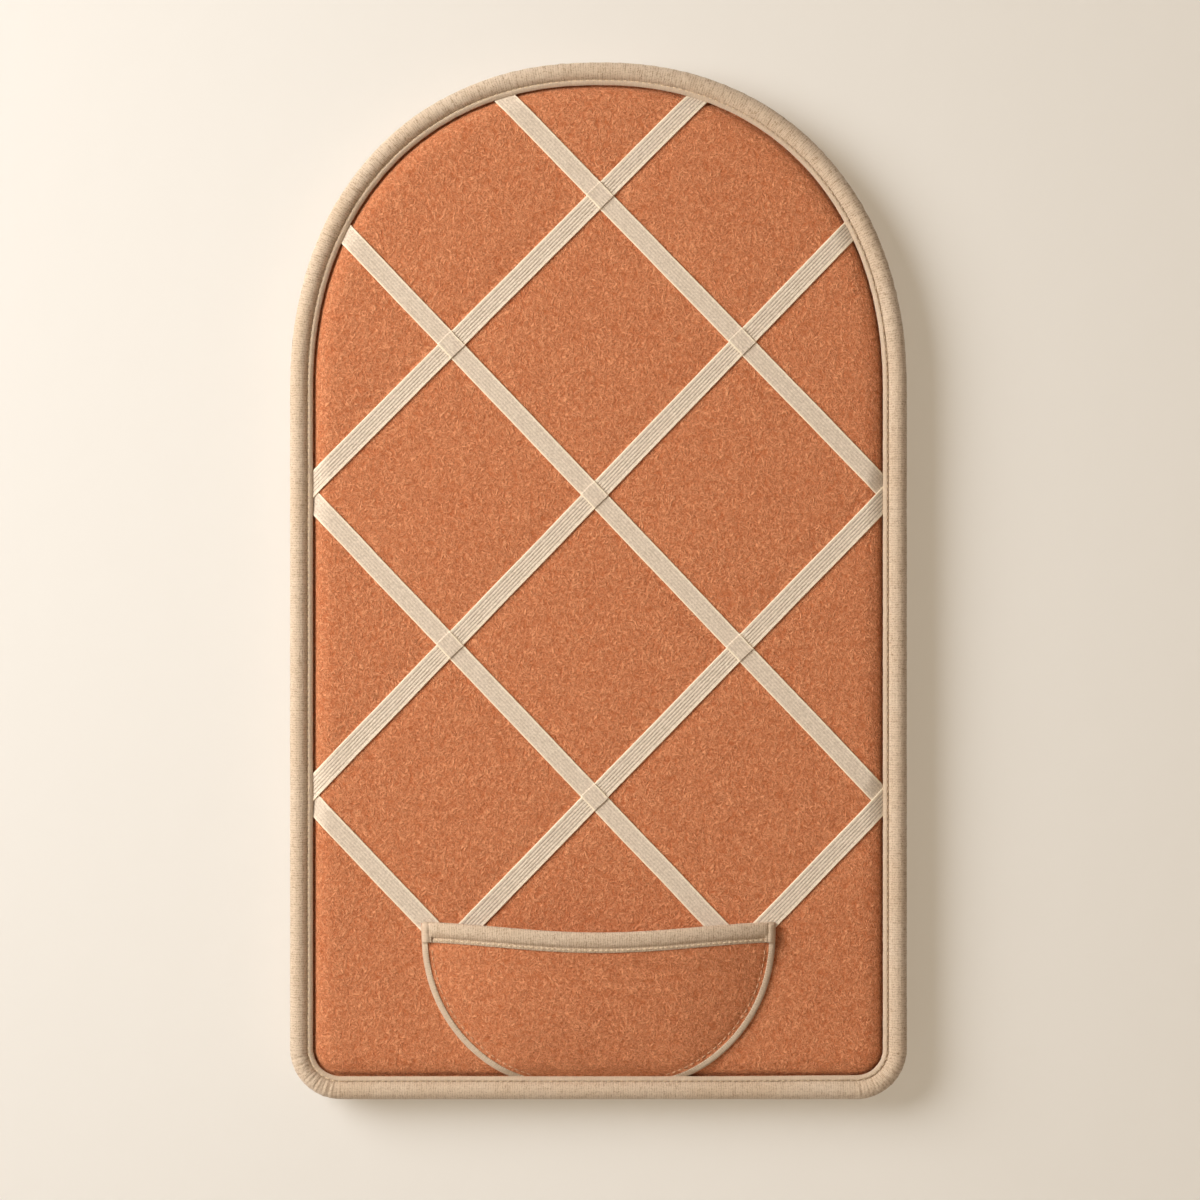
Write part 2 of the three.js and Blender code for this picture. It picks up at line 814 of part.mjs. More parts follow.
function pocketEdging(side) {
  const rings = [];
  for (let i = 0; i <= tabSteps; i++) {
    const z = mouthEndHeight - mouthEndRise * i / tabSteps;
    rings.push(edgingStation(new THREE.Vector2(side * pocketHalfWidth, z), new THREE.Vector2(-side, 0), z));
  }
  for (let i = 1; i <= edgingSteps; i++) {
    const angle = edgingEndAngle * i / edgingSteps;
    const outer = pocketRim(angle, 0);
    const along = pocketRim(angle + edgingEndAngle / edgingSteps ** 2, 0).sub(outer).normalize();
    const inward = new THREE.Vector2(-Math.abs(along.y) * side, -along.x);
    outer.x *= side;
    rings.push(edgingStation(outer, inward, outer.y));
  }
  const body = loft(rings, rings[0].map((place) => new THREE.Vector2(place.x, place.y)));
  const reach = boardWidth / 2;
  const below = new THREE.BoxGeometry(2 * reach, reach, reach);
  below.translate(0, 0, openingBottom + seat - reach / 2);
  return cut(body, [below]);
}

// Hangers

const barrelBore = ringWire / 2 + ringClearance;
const barrelRadius = barrelBore + barrelWall;
const plateSeat = seat / 3;
const ringAxisRear = barrelRadius + plateSeat;

function roundedPlate() {
  const half = plateWidth / 2;
  const neck = barrelLength / 2;
  const shape = new THREE.Shape();
  shape.moveTo(-neck, 0);
  shape.lineTo(-half, -plateCorner - neck);
  shape.lineTo(-half, plateCorner - plateLength);
  shape.absarc(plateCorner - half, plateCorner - plateLength, plateCorner, Math.PI, 1.5 * Math.PI, false);
  shape.absarc(half - plateCorner, plateCorner - plateLength, plateCorner, 1.5 * Math.PI, 2 * Math.PI, false);
  shape.lineTo(half, -plateCorner - neck);
  shape.lineTo(neck, 0);
  for (const offset of plateScrewOffsets) {
    const hole = new THREE.Path();
    hole.absarc(0, -offset, plateScrew.shank / 2 + seat, 0, 2 * Math.PI, true);
    shape.holes.push(hole);
  }
  const body = new THREE.ExtrudeGeometry(shape, {
    depth: plateThickness, bevelEnabled: false, curveSegments: cornerSteps * 2,
  });
  return body.rotateX(Math.PI / 2).translate(0, plateSeat + plateThickness, 0);
}

function hangerPlate() {
  const round = new THREE.Shape();
  round.absarc(0, 0, barrelRadius, 0, 2 * Math.PI, false);
  const eye = new THREE.Path();
  eye.absarc(0, 0, barrelBore, 0, 2 * Math.PI, true);
  round.holes.push(eye);
  const barrel = new THREE.ExtrudeGeometry(round, {
    depth: barrelLength, bevelEnabled: false, curveSegments: barrelSides,
  });
  barrel.translate(0, 0, -barrelLength / 2).rotateY(Math.PI / 2).translate(0, ringAxisRear, 0);
  const joined = toSolid(roundedPlate()).add(toSolid(barrel));
  const clear = new THREE.CylinderGeometry(barrelBore, barrelBore, barrelLength + overrun, barrelSides);
  clear.rotateZ(Math.PI / 2).translate(0, ringAxisRear, 0);
  return toGeometry(joined.subtract(toSolid(clear)));
}

// The ring is a wire bent to a D, with its straight bar through the barrel of the plate
function hangerRing() {
  const bowBase = ringCorner + ringWire / 2;
  const bowHeight = ringHeight - bowBase;
  const line = [];
  const straight = ringHalfWidth - ringCorner;
  for (const side of bothSides) {
    for (let i = 0; i <= cornerSteps; i++) {
      const angle = (side < 0 ? Math.PI : 1.5 * Math.PI) + Math.PI / 2 * i / cornerSteps;
      line.push(new THREE.Vector2(
        side * straight + ringCorner * Math.cos(angle),
        ringCorner + ringCorner * Math.sin(angle),
      ));
    }
  }
  const bowSteps = 4 * cornerSteps;
  for (let i = 0; i <= bowSteps; i++) {
    const angle = Math.PI * i / bowSteps;
    line.push(new THREE.Vector2(ringHalfWidth * Math.cos(angle), bowBase + bowHeight * Math.sin(angle)));
  }
  const rings = line.map((place, i) => {
    const before = line[(i + line.length - 1) % line.length];
    const after = line[(i + 1) % line.length];
    const along = after.clone().sub(before).normalize();
    return Array.from({ length: wireSides }, (_, k) => {
      const angle = 2 * Math.PI * k / wireSides;
      const out = ringWire / 2 * Math.cos(angle);
      const rear = ringWire / 2 * Math.sin(angle);
      return new THREE.Vector3(place.x + along.y * out, rear, place.y - along.x * out);
    });
  });
  return loft(rings);
}

function bumper() {
  const bevel = bumperHeight / 3;
  const profile = [
    [0, 0],
    [bumperRadius, 0],
    [bumperRadius, bumperHeight - bevel],
    [bumperRadius - bevel, bumperHeight],
    [0, bumperHeight],
  ].map(([radius, height]) => new THREE.Vector2(radius, height));
  const turned = new THREE.LatheGeometry(profile, boreSides);
  turned.deleteAttribute('normal');
  turned.deleteAttribute('uv');
  return facingOut(mergeVertices(turned));
}

// Assembly

const board = new THREE.Group();

function piece(name, geometry, makeFinish, parent = board) {
  const mesh = new THREE.Mesh(geometry, makeFinish());
  mesh.name = name;
  parent.add(mesh);
  return mesh;
}

piece('back_cover', backCover(), coverFinish);
piece('core_board', coreBoard(), boardFinish);
piece('foam_pad', foamPad(), foamFinish);
piece('face_felt', faceFelt(), feltFinish);
piece('edge_cord', edgeCord(), foamFinish);
piece('edge_binding', edgeBinding(), bindingFinish);
staplePlaces.forEach((place, i) => piece(`staple_${i + 1}`, stapleAt(place), steelFinish));

for (const strap of [...upStraps, ...downStraps]) {
  piece(strap.name, strapBody(strap, strapStations(strap)), strapFinish);
}

piece('pocket_panel', pocketPanel(), feltFinish);
piece('pocket_mouth_binding', mouthBinding(), bindingFinish);

function driveScrews(name, screw, places, headSeat) {
  places.forEach(({ x, z }, i) => {
    piece(`${name}_${i + 1}`, screwBody(screw), steelFinish).position.set(x, headSeat, z);
  });
}

driveScrews('cover_screw', coverScrew, coverScrewPlaces, 0);
driveScrews('hanger_screw', plateScrew, plateScrewPlaces, plateSeat + plateThickness);

for (const side of bothSides) {
  const hand = side < 0 ? 'left' : 'right';
  piece(`pocket_edging_${hand}`, pocketEdging(side), bindingFinish);
  const hanger = new THREE.Group();
  hanger.position.set(side * hangerSpacing / 2, 0, hangerHeight);
  board.add(hanger);
  piece(`hanger_plate_${hand}`, hangerPlate(), steelFinish, hanger);
  piece(`hanger_ring_${hand}`, hangerRing(), steelFinish, hanger).position.y = ringAxisRear;
  const foot = piece(`bumper_${hand}`, bumper(), bumperFinish);
  foot.position.set(side * (openingHalfWidth - bumperInset), 0, openingBottom + bumperInset);
}

// The hooks bear on the inside of the rings' tops, and the bumpers' rear faces lie on the wall
const hookHeight = hangerHeight + ringHeight - ringWire / 2;
board.position.set(0, -bumperHeight, -hookHeight);

const hungBoard = new THREE.Group();
hungBoard.add(board);

export default hungBoard;
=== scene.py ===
import math

import bpy
import numpy as np
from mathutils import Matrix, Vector
from mathutils.kdtree import KDTree


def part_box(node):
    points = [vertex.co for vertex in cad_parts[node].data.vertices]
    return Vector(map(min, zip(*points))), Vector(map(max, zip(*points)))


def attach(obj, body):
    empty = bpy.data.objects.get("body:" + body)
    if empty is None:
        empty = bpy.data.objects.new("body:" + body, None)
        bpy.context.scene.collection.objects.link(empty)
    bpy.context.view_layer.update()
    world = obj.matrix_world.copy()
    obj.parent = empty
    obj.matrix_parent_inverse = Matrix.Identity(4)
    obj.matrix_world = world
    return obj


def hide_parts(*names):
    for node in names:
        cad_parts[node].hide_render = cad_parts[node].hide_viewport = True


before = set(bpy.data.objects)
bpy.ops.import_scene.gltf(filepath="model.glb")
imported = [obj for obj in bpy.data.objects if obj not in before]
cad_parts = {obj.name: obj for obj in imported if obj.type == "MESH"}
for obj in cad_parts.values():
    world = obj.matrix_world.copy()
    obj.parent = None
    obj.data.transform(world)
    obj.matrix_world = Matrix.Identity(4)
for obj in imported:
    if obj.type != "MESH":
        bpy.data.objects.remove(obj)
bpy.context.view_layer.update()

# BACK COVER
# A sheet of hardboard sawn to the arch of the board, smooth side out, with its edges sanded round.
# Eight screws hold it over the stapled hem. Sizes are in millimetres from the cover's rear face
# forwards and from the middle of the board's height, and each finished mesh is set into the frame.
cover_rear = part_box("back_cover")[1].y
board_middle = (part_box("edge_binding")[0].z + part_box("edge_binding")[1].z) / 2
opening_half, opening_top, opening_bottom = 165.2, 286.7, -286.7
arch_spring, arch_power, opening_corner = 109.0, 2.2, 16.2


def set_in_frame(points):
    points = points.reshape(-1, 3)
    return np.stack([points[:, 0] / 1000, cover_rear - points[:, 1] / 1000,
                     board_middle + points[:, 2] / 1000], 1)


def tone(red, green, blue):
    """A colour read as 0 to 255 on a screen, as the shader takes it."""
    shares = (value / 255 for value in (red, green, blue))
    return (*(s / 12.92 if s <= 0.04045 else ((s + 0.055) / 1.055) ** 2.4 for s in shares), 1)


def distance_along(line):
    """How far each point lies along a line of points."""
    return np.concatenate([[0], np.cumsum(np.linalg.norm(np.diff(line, axis=0), axis=1))])


def unit(ways):
    """Directions of length 1."""
    return ways / np.linalg.norm(ways, axis=-1, keepdims=True)


def edge_stations(pitch):
    """Even stations once round the sewn edge line from the middle of the bottom, anticlockwise seen
    from the front: distance along it, place and outward direction, and then the line's length."""
    turn = np.linspace(0, math.pi, 4001)
    arch = np.stack([
        opening_half * np.sign(np.cos(turn)) * np.abs(np.cos(turn)) ** (2 / arch_power),
        arch_spring + (opening_top - arch_spring) * np.sin(turn).clip(0) ** (2 / arch_power)], 1)
    bend = np.linspace(0, math.pi / 2, 60)
    right = np.stack([opening_half - opening_corner + opening_corner * np.sin(bend),
                      opening_bottom + opening_corner - opening_corner * np.cos(bend)], 1)
    left = (right * [-1, 1])[::-1]
    line = np.concatenate([[[0, opening_bottom]], right, arch, left, [[0, opening_bottom]]])
    length = distance_along(line)
    count = round(length[-1] / pitch)
    along = np.arange(count) * length[-1] / count
    place = np.stack([np.interp(along, length, line[:, k]) for k in (0, 1)], 1)
    way = unit(np.roll(place, -1, 0) - np.roll(place, 1, 0))
    return along, place, way[:, ::-1] * [1, -1], length[-1]


def spots(x, front, z):
    """Points from their places across, forwards and up."""
    return np.stack(np.broadcast_arrays(x, front, z), -1)


def ring(stations, offset, front):
    place = stations[1] + stations[2] * np.reshape(offset, (-1, 1))
    return spots(place[:, 0], front, place[:, 1])


def grid_faces(rows, columns, wrap_rows=False, wrap_columns=False):
    r, c = np.meshgrid(np.arange(rows - (not wrap_rows)), np.arange(columns - (not wrap_columns)),
                       indexing="ij")
    r2, c2 = (r + 1) % rows, (c + 1) % columns
    corners = [r * columns + c, r2 * columns + c, r2 * columns + c2, r * columns + c2]
    return np.stack(corners, -1).reshape(-1, 4)


def in_scene(name, data):
    thing = bpy.data.objects.new(name, data)
    bpy.context.scene.collection.objects.link(thing)
    return thing


def solid_piece(name, points, faces, caps=(), threads=None):
    """A closed mesh of four-cornered faces and flat end faces, turned to face outwards."""
    points = set_in_frame(points)
    a, b, c, d = (points[faces[:, k]] for k in range(4))
    volume = (a * np.cross(b, c) + a * np.cross(c, d)).sum()
    for cap in caps:
        middle = points[cap].mean(0)
        volume += (middle * np.cross(points[cap], points[np.roll(cap, -1)])).sum()
    if volume < 0:
        faces, caps = faces[:, ::-1], [cap[::-1] for cap in caps]
        threads = None if threads is None else threads[:, ::-1]
    mesh = bpy.data.meshes.new(name)
    mesh.from_pydata(points.tolist(), [], faces.tolist() + [cap.tolist() for cap in caps])
    if threads is not None:
        layer = mesh.uv_layers.new(name="threads")
        loose = np.zeros(2 * len(mesh.loops))
        loose[:threads.size] = threads.reshape(-1)
        layer.data.foreach_set("uv", loose)
    mesh.polygons.foreach_set("use_smooth", [True] * len(faces) + [False] * len(caps))
    mesh.update()
    return in_scene(name, mesh)


def end_caps(rings, count):
    """The flat faces that close the first and the last of some rings of so many points."""
    return [np.arange(count), np.arange(count)[::-1] + count * (rings - 1)]


def lofted(name, rings, closed=False, threads=None):
    """Rings of points joined in a row, which meets itself or else has a flat face at each end."""
    rows, count = len(rings), len(rings[0])
    return solid_piece(name, np.concatenate(rings), grid_faces(rows, count, closed, True),
                       () if closed else end_caps(rows, count), threads)


def stacked(name, stations, section):
    """Outlines one in front of the other, with a flat face at each end."""
    return lofted(name, [ring(stations, offset, front) for offset, front in section])


def surface_of(look):
    return look.node_tree.nodes["Principled BSDF"]


def finish(name, color, roughness, specular=0.3, sheen=0.0, metallic=0.0):
    look = bpy.data.materials.new(name)
    look.use_nodes = True
    sockets = surface_of(look).inputs
    sockets["Base Color"].default_value = tone(*color)
    sockets["Roughness"].default_value = roughness
    sockets["Specular IOR Level"].default_value = specular
    sockets["Sheen Weight"].default_value = sheen
    sockets["Metallic"].default_value = metallic
    return look


def node(owner, kind, inputs=(), **settings):
    """Adds a shader node to a material, or beside the node of a socket. An input is a value, a colour
    or another node's socket."""
    tree = owner.id_data if isinstance(owner, bpy.types.NodeSocket) else owner.node_tree
    made = tree.nodes.new("ShaderNode" + kind)
    for key, value in settings.items():
        setattr(made, key, value)
    for key, value in dict(inputs).items():
        if isinstance(value, bpy.types.NodeSocket):
            tree.links.new(value, made.inputs[key])
        else:
            made.inputs[key].default_value = tone(*value) if made.inputs[key].type == "RGBA" else value
    return made


def math_of(look, operation, first, second=0.0):
    return node(look, "Math", {0: first, 1: second}, operation=operation).outputs[0]


def times(socket, value):
    return math_of(socket, "MULTIPLY", socket, value)


def place_in(look):
    return node(look, "TexCoord").outputs["Object"]


def noise_of(look, scale, detail=2.0, distortion=0.0, shift=(0, 0, 0), stretch=(1, 1, 1), turn=0.0):
    """Random grains, longer along an axis by its stretch and turned in the plane of the board."""
    moved = node(look, "Mapping", {"Vector": place_in(look), "Location": shift, "Scale": stretch,
                                   "Rotation": (0, math.radians(turn), 0)}, vector_type="TEXTURE")
    return node(look, "TexNoise", {"Vector": moved.outputs[0], "Scale": scale, "Detail": detail,
                                   "Distortion": distortion}).outputs[0]


def ramp_of(look, factor, *stops):
    made = node(look, "ValToRGB", {"Fac": factor})
    elements = made.color_ramp.elements
    for _ in stops[2:]:
        elements.new(1)
    for element, (position, color) in zip(elements, stops):
        element.position, element.color = position, tone(*color)
    return made.outputs[0]


def mixed(look, factor, first, second, blend="MIX"):
    made = node(look, "Mix", {0: factor, 6: first, 7: second}, data_type="RGBA", blend_type=blend)
    return made.outputs[2]


def relief(look, height, depth, strength):
    bump = node(look, "Bump", {"Height": height, "Distance": depth, "Strength": strength})
    look.node_tree.links.new(bump.outputs[0], surface_of(look).inputs["Normal"])


def colored(look, color):
    look.node_tree.links.new(color, surface_of(look).inputs["Base Color"])


def coated(piece, look):
    piece.data.materials.clear()
    piece.data.materials.append(look)


def dressed(piece, look, slot, *nodes, body="board"):
    """Gives a piece its look and its body, and hides the solids that it stands for. Its slot is not used."""
    coated(piece, look)
    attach(piece, body)
    if nodes:
        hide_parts(*nodes)
    return piece


hardboard = finish("hardboard", (122, 90, 62), 0.62)
pulp = ramp_of(hardboard, noise_of(hardboard, 1500, 4, 0.6, stretch=(1, 1, 2)),
               (0.3, (118, 85, 57)), (0.52, (137, 102, 71)), (0.75, (158, 123, 89)))
colored(hardboard, mixed(hardboard, times(noise_of(hardboard, 18, 3), 0.35), pulp, (116, 85, 59)))
relief(hardboard, noise_of(hardboard, 2200, 3), 0.00008, 0.5)

edge_3mm = edge_stations(3.0)
cover_section = [(1.7, 0.0), (2.1, 0.12), (2.35, 0.4), (2.4, 0.8), (2.4, 1.4), (2.3, 1.8), (2.0, 2.0)]
dressed(stacked("back_cover_board", edge_3mm, cover_section), hardboard, "hardboard", "back_cover")

# CORE BOARD
# A 9 mm panel of bare fibreboard that everything is fastened to. Its rear edge has a rebate for the
# hem, and the solid of the frame has its shape, so it keeps that and only takes a finish.
fibreboard = finish("bare_fibreboard", (170, 138, 100), 0.85)
colored(fibreboard, ramp_of(fibreboard, noise_of(fibreboard, 1300, 5, 0.4), (0.35, (148, 116, 82)),
                            (0.55, (172, 140, 102)), (0.7, (190, 160, 122))))
relief(fibreboard, noise_of(fibreboard, 2600, 2), 0.0001, 0.6)
coated(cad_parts["core_board"], fibreboard)

# FOAM PAD
# A 5 mm sheet of soft foam glued to the front of the core. Its edge is drawn down all round where the
# felt is pulled over it.
core_front, foam_gap = 11.0, 3.3
rim_front, crown_rise, crown_width = 15.5, 3.8, 11.0


def crown(inset):
    """Front of the face felt at a distance inside the sewn edge."""
    share = np.clip(inset / crown_width, 0, 1)
    return rim_front + crown_rise * (1 - (1 - share) ** 2)


def patterned(look, pattern, dark, light, depth, strength):
    """Shades and raises a material by the same pattern."""
    colored(look, ramp_of(look, pattern, dark, light))
    relief(look, pattern, depth, strength)


foam = finish("soft_foam", (236, 230, 212), 0.95)
# The foam's colour follows its cells: it is darker in the hollow of each pore, which is painted shade
# alongside the bump.
cells = node(foam, "TexVoronoi", {"Vector": place_in(foam), "Scale": 1500.0})
patterned(foam, cells.outputs[0], (0.0, (206, 198, 176)), (0.6, (240, 234, 218)), 0.0003, 0.8)
foam_insets = [0.95, 1.6, 2.4, 3.4, 4.6, 6.0, 7.6, 9.3, 11.0]
foam_section = [(-0.95, core_front)] + [(-inset, crown(inset) - foam_gap) for inset in foam_insets]
foam_pad = dressed(stacked("foam_pad_sheet", edge_3mm, foam_section), foam, "foam", "foam_pad")

# FACE FELT
# Rust-coloured wool felt, 3 mm thick, drawn over the foam. It swells a little in each diamond, lies
# flat under the straps, and is pressed down where the ends of two straps meet at the edge.
strap_width, strap_thick, strap_gap, under_flange = 11.3, 0.85, 0.3, 2.0
strap_lines = [  # rises to the right, height on the middle line, slope, heights of tacked ends
    (True, 221.44, 1.003, {}), (True, 51.83, 1.037, {}),
    (True, -122.85, 1.029, {"left": -211.9}), (True, -298.04, 1.034, {"left": -202.5}),
    (False, 223.36, -1.030, {}), (False, 46.94, -1.051, {}),
    (False, -127.38, -1.052, {"right": -211.9}), (False, -301.71, -1.050, {"right": -202.5})]
edge_fine = edge_stations(0.5)
edge_tree = KDTree(len(edge_fine[0]))
for i, (x, z) in enumerate(edge_fine[1]):
    edge_tree.insert((x, z, 0), i)
edge_tree.balance()


def inset_of(x, z):
    """How far places on the face lie inside the sewn edge line."""
    inset = np.empty(np.size(x))
    for k, spot in enumerate(zip(np.ravel(x), np.ravel(z))):
        i = edge_tree.find((*spot, 0))[1]
        inset[k] = (edge_fine[1][i] - spot) @ edge_fine[2][i]
    return inset.reshape(np.shape(x))


def smooth_step(value, low, high):
    share = np.clip((value - low) / (high - low), 0, 1)
    return share * share * (3 - 2 * share)


def unevenness(x, z, size, seed):
    """A soft random swell from -1 to 1, about size across."""
    chance = np.random.default_rng(seed)
    total = np.zeros(np.shape(x))
    for _ in range(9):
        way, phase = chance.uniform(0, 2 * math.pi, 2)
        step = 2 * math.pi / (size * chance.uniform(0.7, 1.6))
        total += np.cos(step * (x * math.cos(way) + z * math.sin(way)) + phase)
    return total / 5


def strap_axes(strap):
    """A point on a strap's middle line, the way along it and the way across it."""
    _, height, slope, _ = strap
    along = np.array([1, slope]) / math.hypot(1, slope)
    return np.array([0, height]), along, np.array([-along[1], along[0]])


def strap_span(strap, side=0.0):
    """Where a line along a strap ends: at the edge under the flange, or where it is tacked."""
    start, along, across = strap_axes(strap)
    line = edge_fine[1] + edge_fine[2] * under_flange - start
    away, run = line @ across - side, line @ along
    near = np.nonzero(np.sign(away) != np.sign(np.roll(away, -1)))[0]
    far = (near + 1) % len(away)
    share = away[near] / (away[near] - away[far])
    met = run[near] + share * (run[far] - run[near])
    ends = {"left": met.min(), "right": met.max()}
    for hand, tack in strap[3].items():
        ends[hand] = (tack - start[1] - side * across[1]) / along[1]
    return ends["left"], ends["right"]


end_dip, crossing_gap = 0.95, 0.1


def meetings(strap):
    """Runs at which a falling strap meets the rising ones, and how far it is lifted there."""
    if strap[0]:
        return []
    start, along, across = strap_axes(strap)
    low, high = strap_span(strap)
    found = []
    for other in strap_lines[:4]:
        start2, _, across2 = strap_axes(other)
        run = (start2 - start) @ across2 / (along @ across2)
        tucked = "left" if run < low + strap_width else "right"
        past = low - run if tucked == "left" else run - high
        at_end = past > -strap_width
        if past < strap_width and not (at_end and tucked in strap[3]):
            found.append((run, -end_dip if at_end else strap_thick + crossing_gap, at_end))
    return found


def strap_lift(strap, run):
    lift = np.zeros(np.shape(run))
    for middle, height, at_end in meetings(strap):
        half, ramp = (6.6, 9.0) if at_end else (strap_width / 2 - 0.1, 0.5)
        lift += height * (1 - smooth_step(np.abs(run - middle), half, half + ramp))
    return lift


def spaced(low, high, gaps, count):
    """Places from low to high: the given gaps at both ends and a count of even steps between."""
    middle = np.linspace(low + gaps[-1], high - gaps[-1], count + 1)[1:-1]
    return np.concatenate([low + np.array(gaps), middle, high - np.array(gaps)[::-1]])


def slab(top, bottom):
    """Points and faces of a sheet between two grids of the same size."""
    rows, columns = top.shape[:2]
    faces = grid_faces(rows, columns)
    index = np.arange(rows * columns).reshape(rows, columns)
    rim = np.concatenate([index[0, :-1], index[:-1, -1], index[-1, :0:-1], index[:0:-1, 0]])
    ahead, under = np.roll(rim, -1), rows * columns
    walls = np.stack([rim, rim + under, ahead + under, ahead], 1)
    points = np.concatenate([top.reshape(-1, 3), bottom.reshape(-1, 3)])
    return points, np.concatenate([faces, faces[:, ::-1] + under, walls[:, ::-1]])


felt_thick, diamond_swell, swell_reach, face_ripple = 2.9, 0.55, 17, 0.09
seam_valley, valley_width, strap_bed = 1.6, 1.9, 0.1
felt_rows, felt_columns, felt_top_half = 222, 120, 6.0
rim_gaps = [0, 0.7, 1.4, 2.1, 2.9, 3.9, 5.1, 6.6, 8.4, 10.5, 13.0]
right_side = (edge_fine[1] + edge_fine[2] * under_flange)[:len(edge_fine[1]) // 2]
right_side = right_side[right_side[:, 1] > opening_bottom - under_flange + 0.01]
rows = spaced(opening_bottom - under_flange, opening_top + under_flange - 0.02, rim_gaps, felt_rows)
half_widths = np.interp(rows, right_side[:, 1], right_side[:, 0])
half_widths[-1] = min(half_widths[-1], felt_top_half)
felt_x = np.array([spaced(-w, w, [g * min(1, w / 60) for g in rim_gaps], felt_columns)
                   for w in half_widths])
felt_z = np.repeat(rows[:, None], felt_x.shape[1], 1)
felt_inset = inset_of(felt_x, felt_z)
nearest_strap = pressed = np.full(felt_x.shape, 99.0)
for strap in strap_lines:
    start, along, across = strap_axes(strap)
    from_start = np.stack([felt_x, felt_z], -1) - start
    run, side = from_start @ along, from_start @ across
    low, high = strap_span(strap)
    beyond = np.maximum(0, np.maximum(low - run, run - high))
    nearest_strap = np.minimum(nearest_strap, np.hypot(side, beyond))
    sunk = crown(felt_inset) + strap_gap + strap_lift(strap, run) - strap_bed
    beneath = (np.abs(side) < strap_width / 2 + 0.3) & (beyond == 0)
    pressed = np.where(beneath, np.minimum(pressed, sunk), pressed)
swell = smooth_step(nearest_strap, strap_width / 2 - 0.5, swell_reach) * smooth_step(felt_inset, 1, 14)
ripple = unevenness(felt_x, felt_z, 14, 5) * smooth_step(felt_inset, 0, 6)
valley = seam_valley * np.exp(-(np.maximum(felt_inset, 0) / valley_width) ** 2)
felt_front = crown(felt_inset) + diamond_swell * swell + face_ripple * ripple - valley
felt_front = np.minimum(felt_front, pressed)
felt_sheet = slab(spots(felt_x, felt_front, felt_z),
                  spots(felt_x, felt_front + valley - felt_thick, felt_z))


def plus(socket, value):
    return math_of(socket, "ADD", socket, value)


def share_of(socket, low, high, at_low=0.0, at_high=1.0):
    """A socket's share between two values, from 0 to 1 or from one given end to the other."""
    return node(socket, "MapRange", {"Value": socket, "From Min": low, "From Max": high,
                                     "To Min": at_low, "To Max": at_high}).outputs[0]


wool = finish("rust_wool_felt", (198, 120, 80), 0.95, specular=0.12, sheen=0.25)
surface_of(wool).inputs["Sheen Roughness"].default_value = 0.6
surface_of(wool).inputs["Sheen Tint"].default_value = tone(240, 190, 150)


def felted_fibres(look, scale, directions):
    """Short fibres that lie in patches of different directions."""
    strands = 0.0
    for k, turn in enumerate(directions):
        field = noise_of(look, scale, 1.5, 0.5, (k * 3, k, 0), (1, 1, 2.7), turn)
        patch = noise_of(look, 300, 1.0, 0.0, (0, k * 2, k * 5))
        strand = times(share_of(field, 0.47, 0.68), share_of(patch, 0.34, 0.62))
        strands = math_of(look, "MAXIMUM", strands, strand)
    return strands


strands = felted_fibres(wool, 1050, (12, 58, 101, 149))
lint = felted_fibres(wool, 1700, (35, 95, 155))
fluff = noise_of(wool, 1000, 2, 0.4)
# The felt's colour follows its fibre relief. It is partly the wool's own uneven tone, partly painted shade
# in the low pits and painted highlight on the raised strands and lint.
ground = ramp_of(wool, fluff, (0.32, (149, 73, 42)), (0.5, (181, 97, 59)), (0.68, (212, 128, 85)))
cast = ramp_of(wool, noise_of(wool, 34, 3), (0.3, (188, 107, 68)), (0.7, (207, 127, 85)))
ground = mixed(wool, 0.25, ground, cast)
bright = math_of(wool, "MAXIMUM", times(strands, 0.85), times(lint, 0.5))
colored(wool, mixed(wool, bright, ground, (252, 177, 133)))
relief(wool, plus(strands, times(plus(lint, fluff), 0.4)), 0.00048, 0.95)

face_felt = dressed(solid_piece("face_felt_cloth", *felt_sheet), wool, "felt", "face_felt")

# EDGE CORD
# A flat-sided foam cord, 18 mm deep, that fills the roll round the board's edge. The cotton rolled
# over it holds it in place.
cord_centre, cord_radius = 8.0, 4.2
cord_front, cord_rear = 15.5, 5.5


def arc(offset, front, radius, start, end, steps):
    """Points of an arc between two angles in degrees."""
    turn = np.radians(np.linspace(start, end, steps))
    return [(offset + radius * math.cos(t), front + radius * math.sin(t)) for t in turn]


cord_section = (arc(cord_centre, cord_front, cord_radius, 0, 180, 11)
                + arc(cord_centre, cord_rear, cord_radius, 180, 360, 11))
cord_rings = [ring(edge_3mm, offset, front) for offset, front in cord_section]
edge_cord = dressed(lofted("edge_cord_foam", cord_rings, closed=True), foam, "foam", "edge_cord")

# EDGE BINDING
# A strip of plain-woven cotton, cut 62 mm wide, rolled over the cord. Its front edge is turned under
# to a narrow flange sewn down on the felt, and its rear edge is stapled to the core under the cover.
# The cloth gathers in small folds, deepest round the two bottom corners.
edge_length = edge_fine[3]
corner_middle = opening_half - opening_corner + opening_corner * math.pi / 4


def near_corners(along, reach):
    return sum(np.exp(-((along - middle) / reach) ** 2)
               for middle in (corner_middle, edge_length - corner_middle))


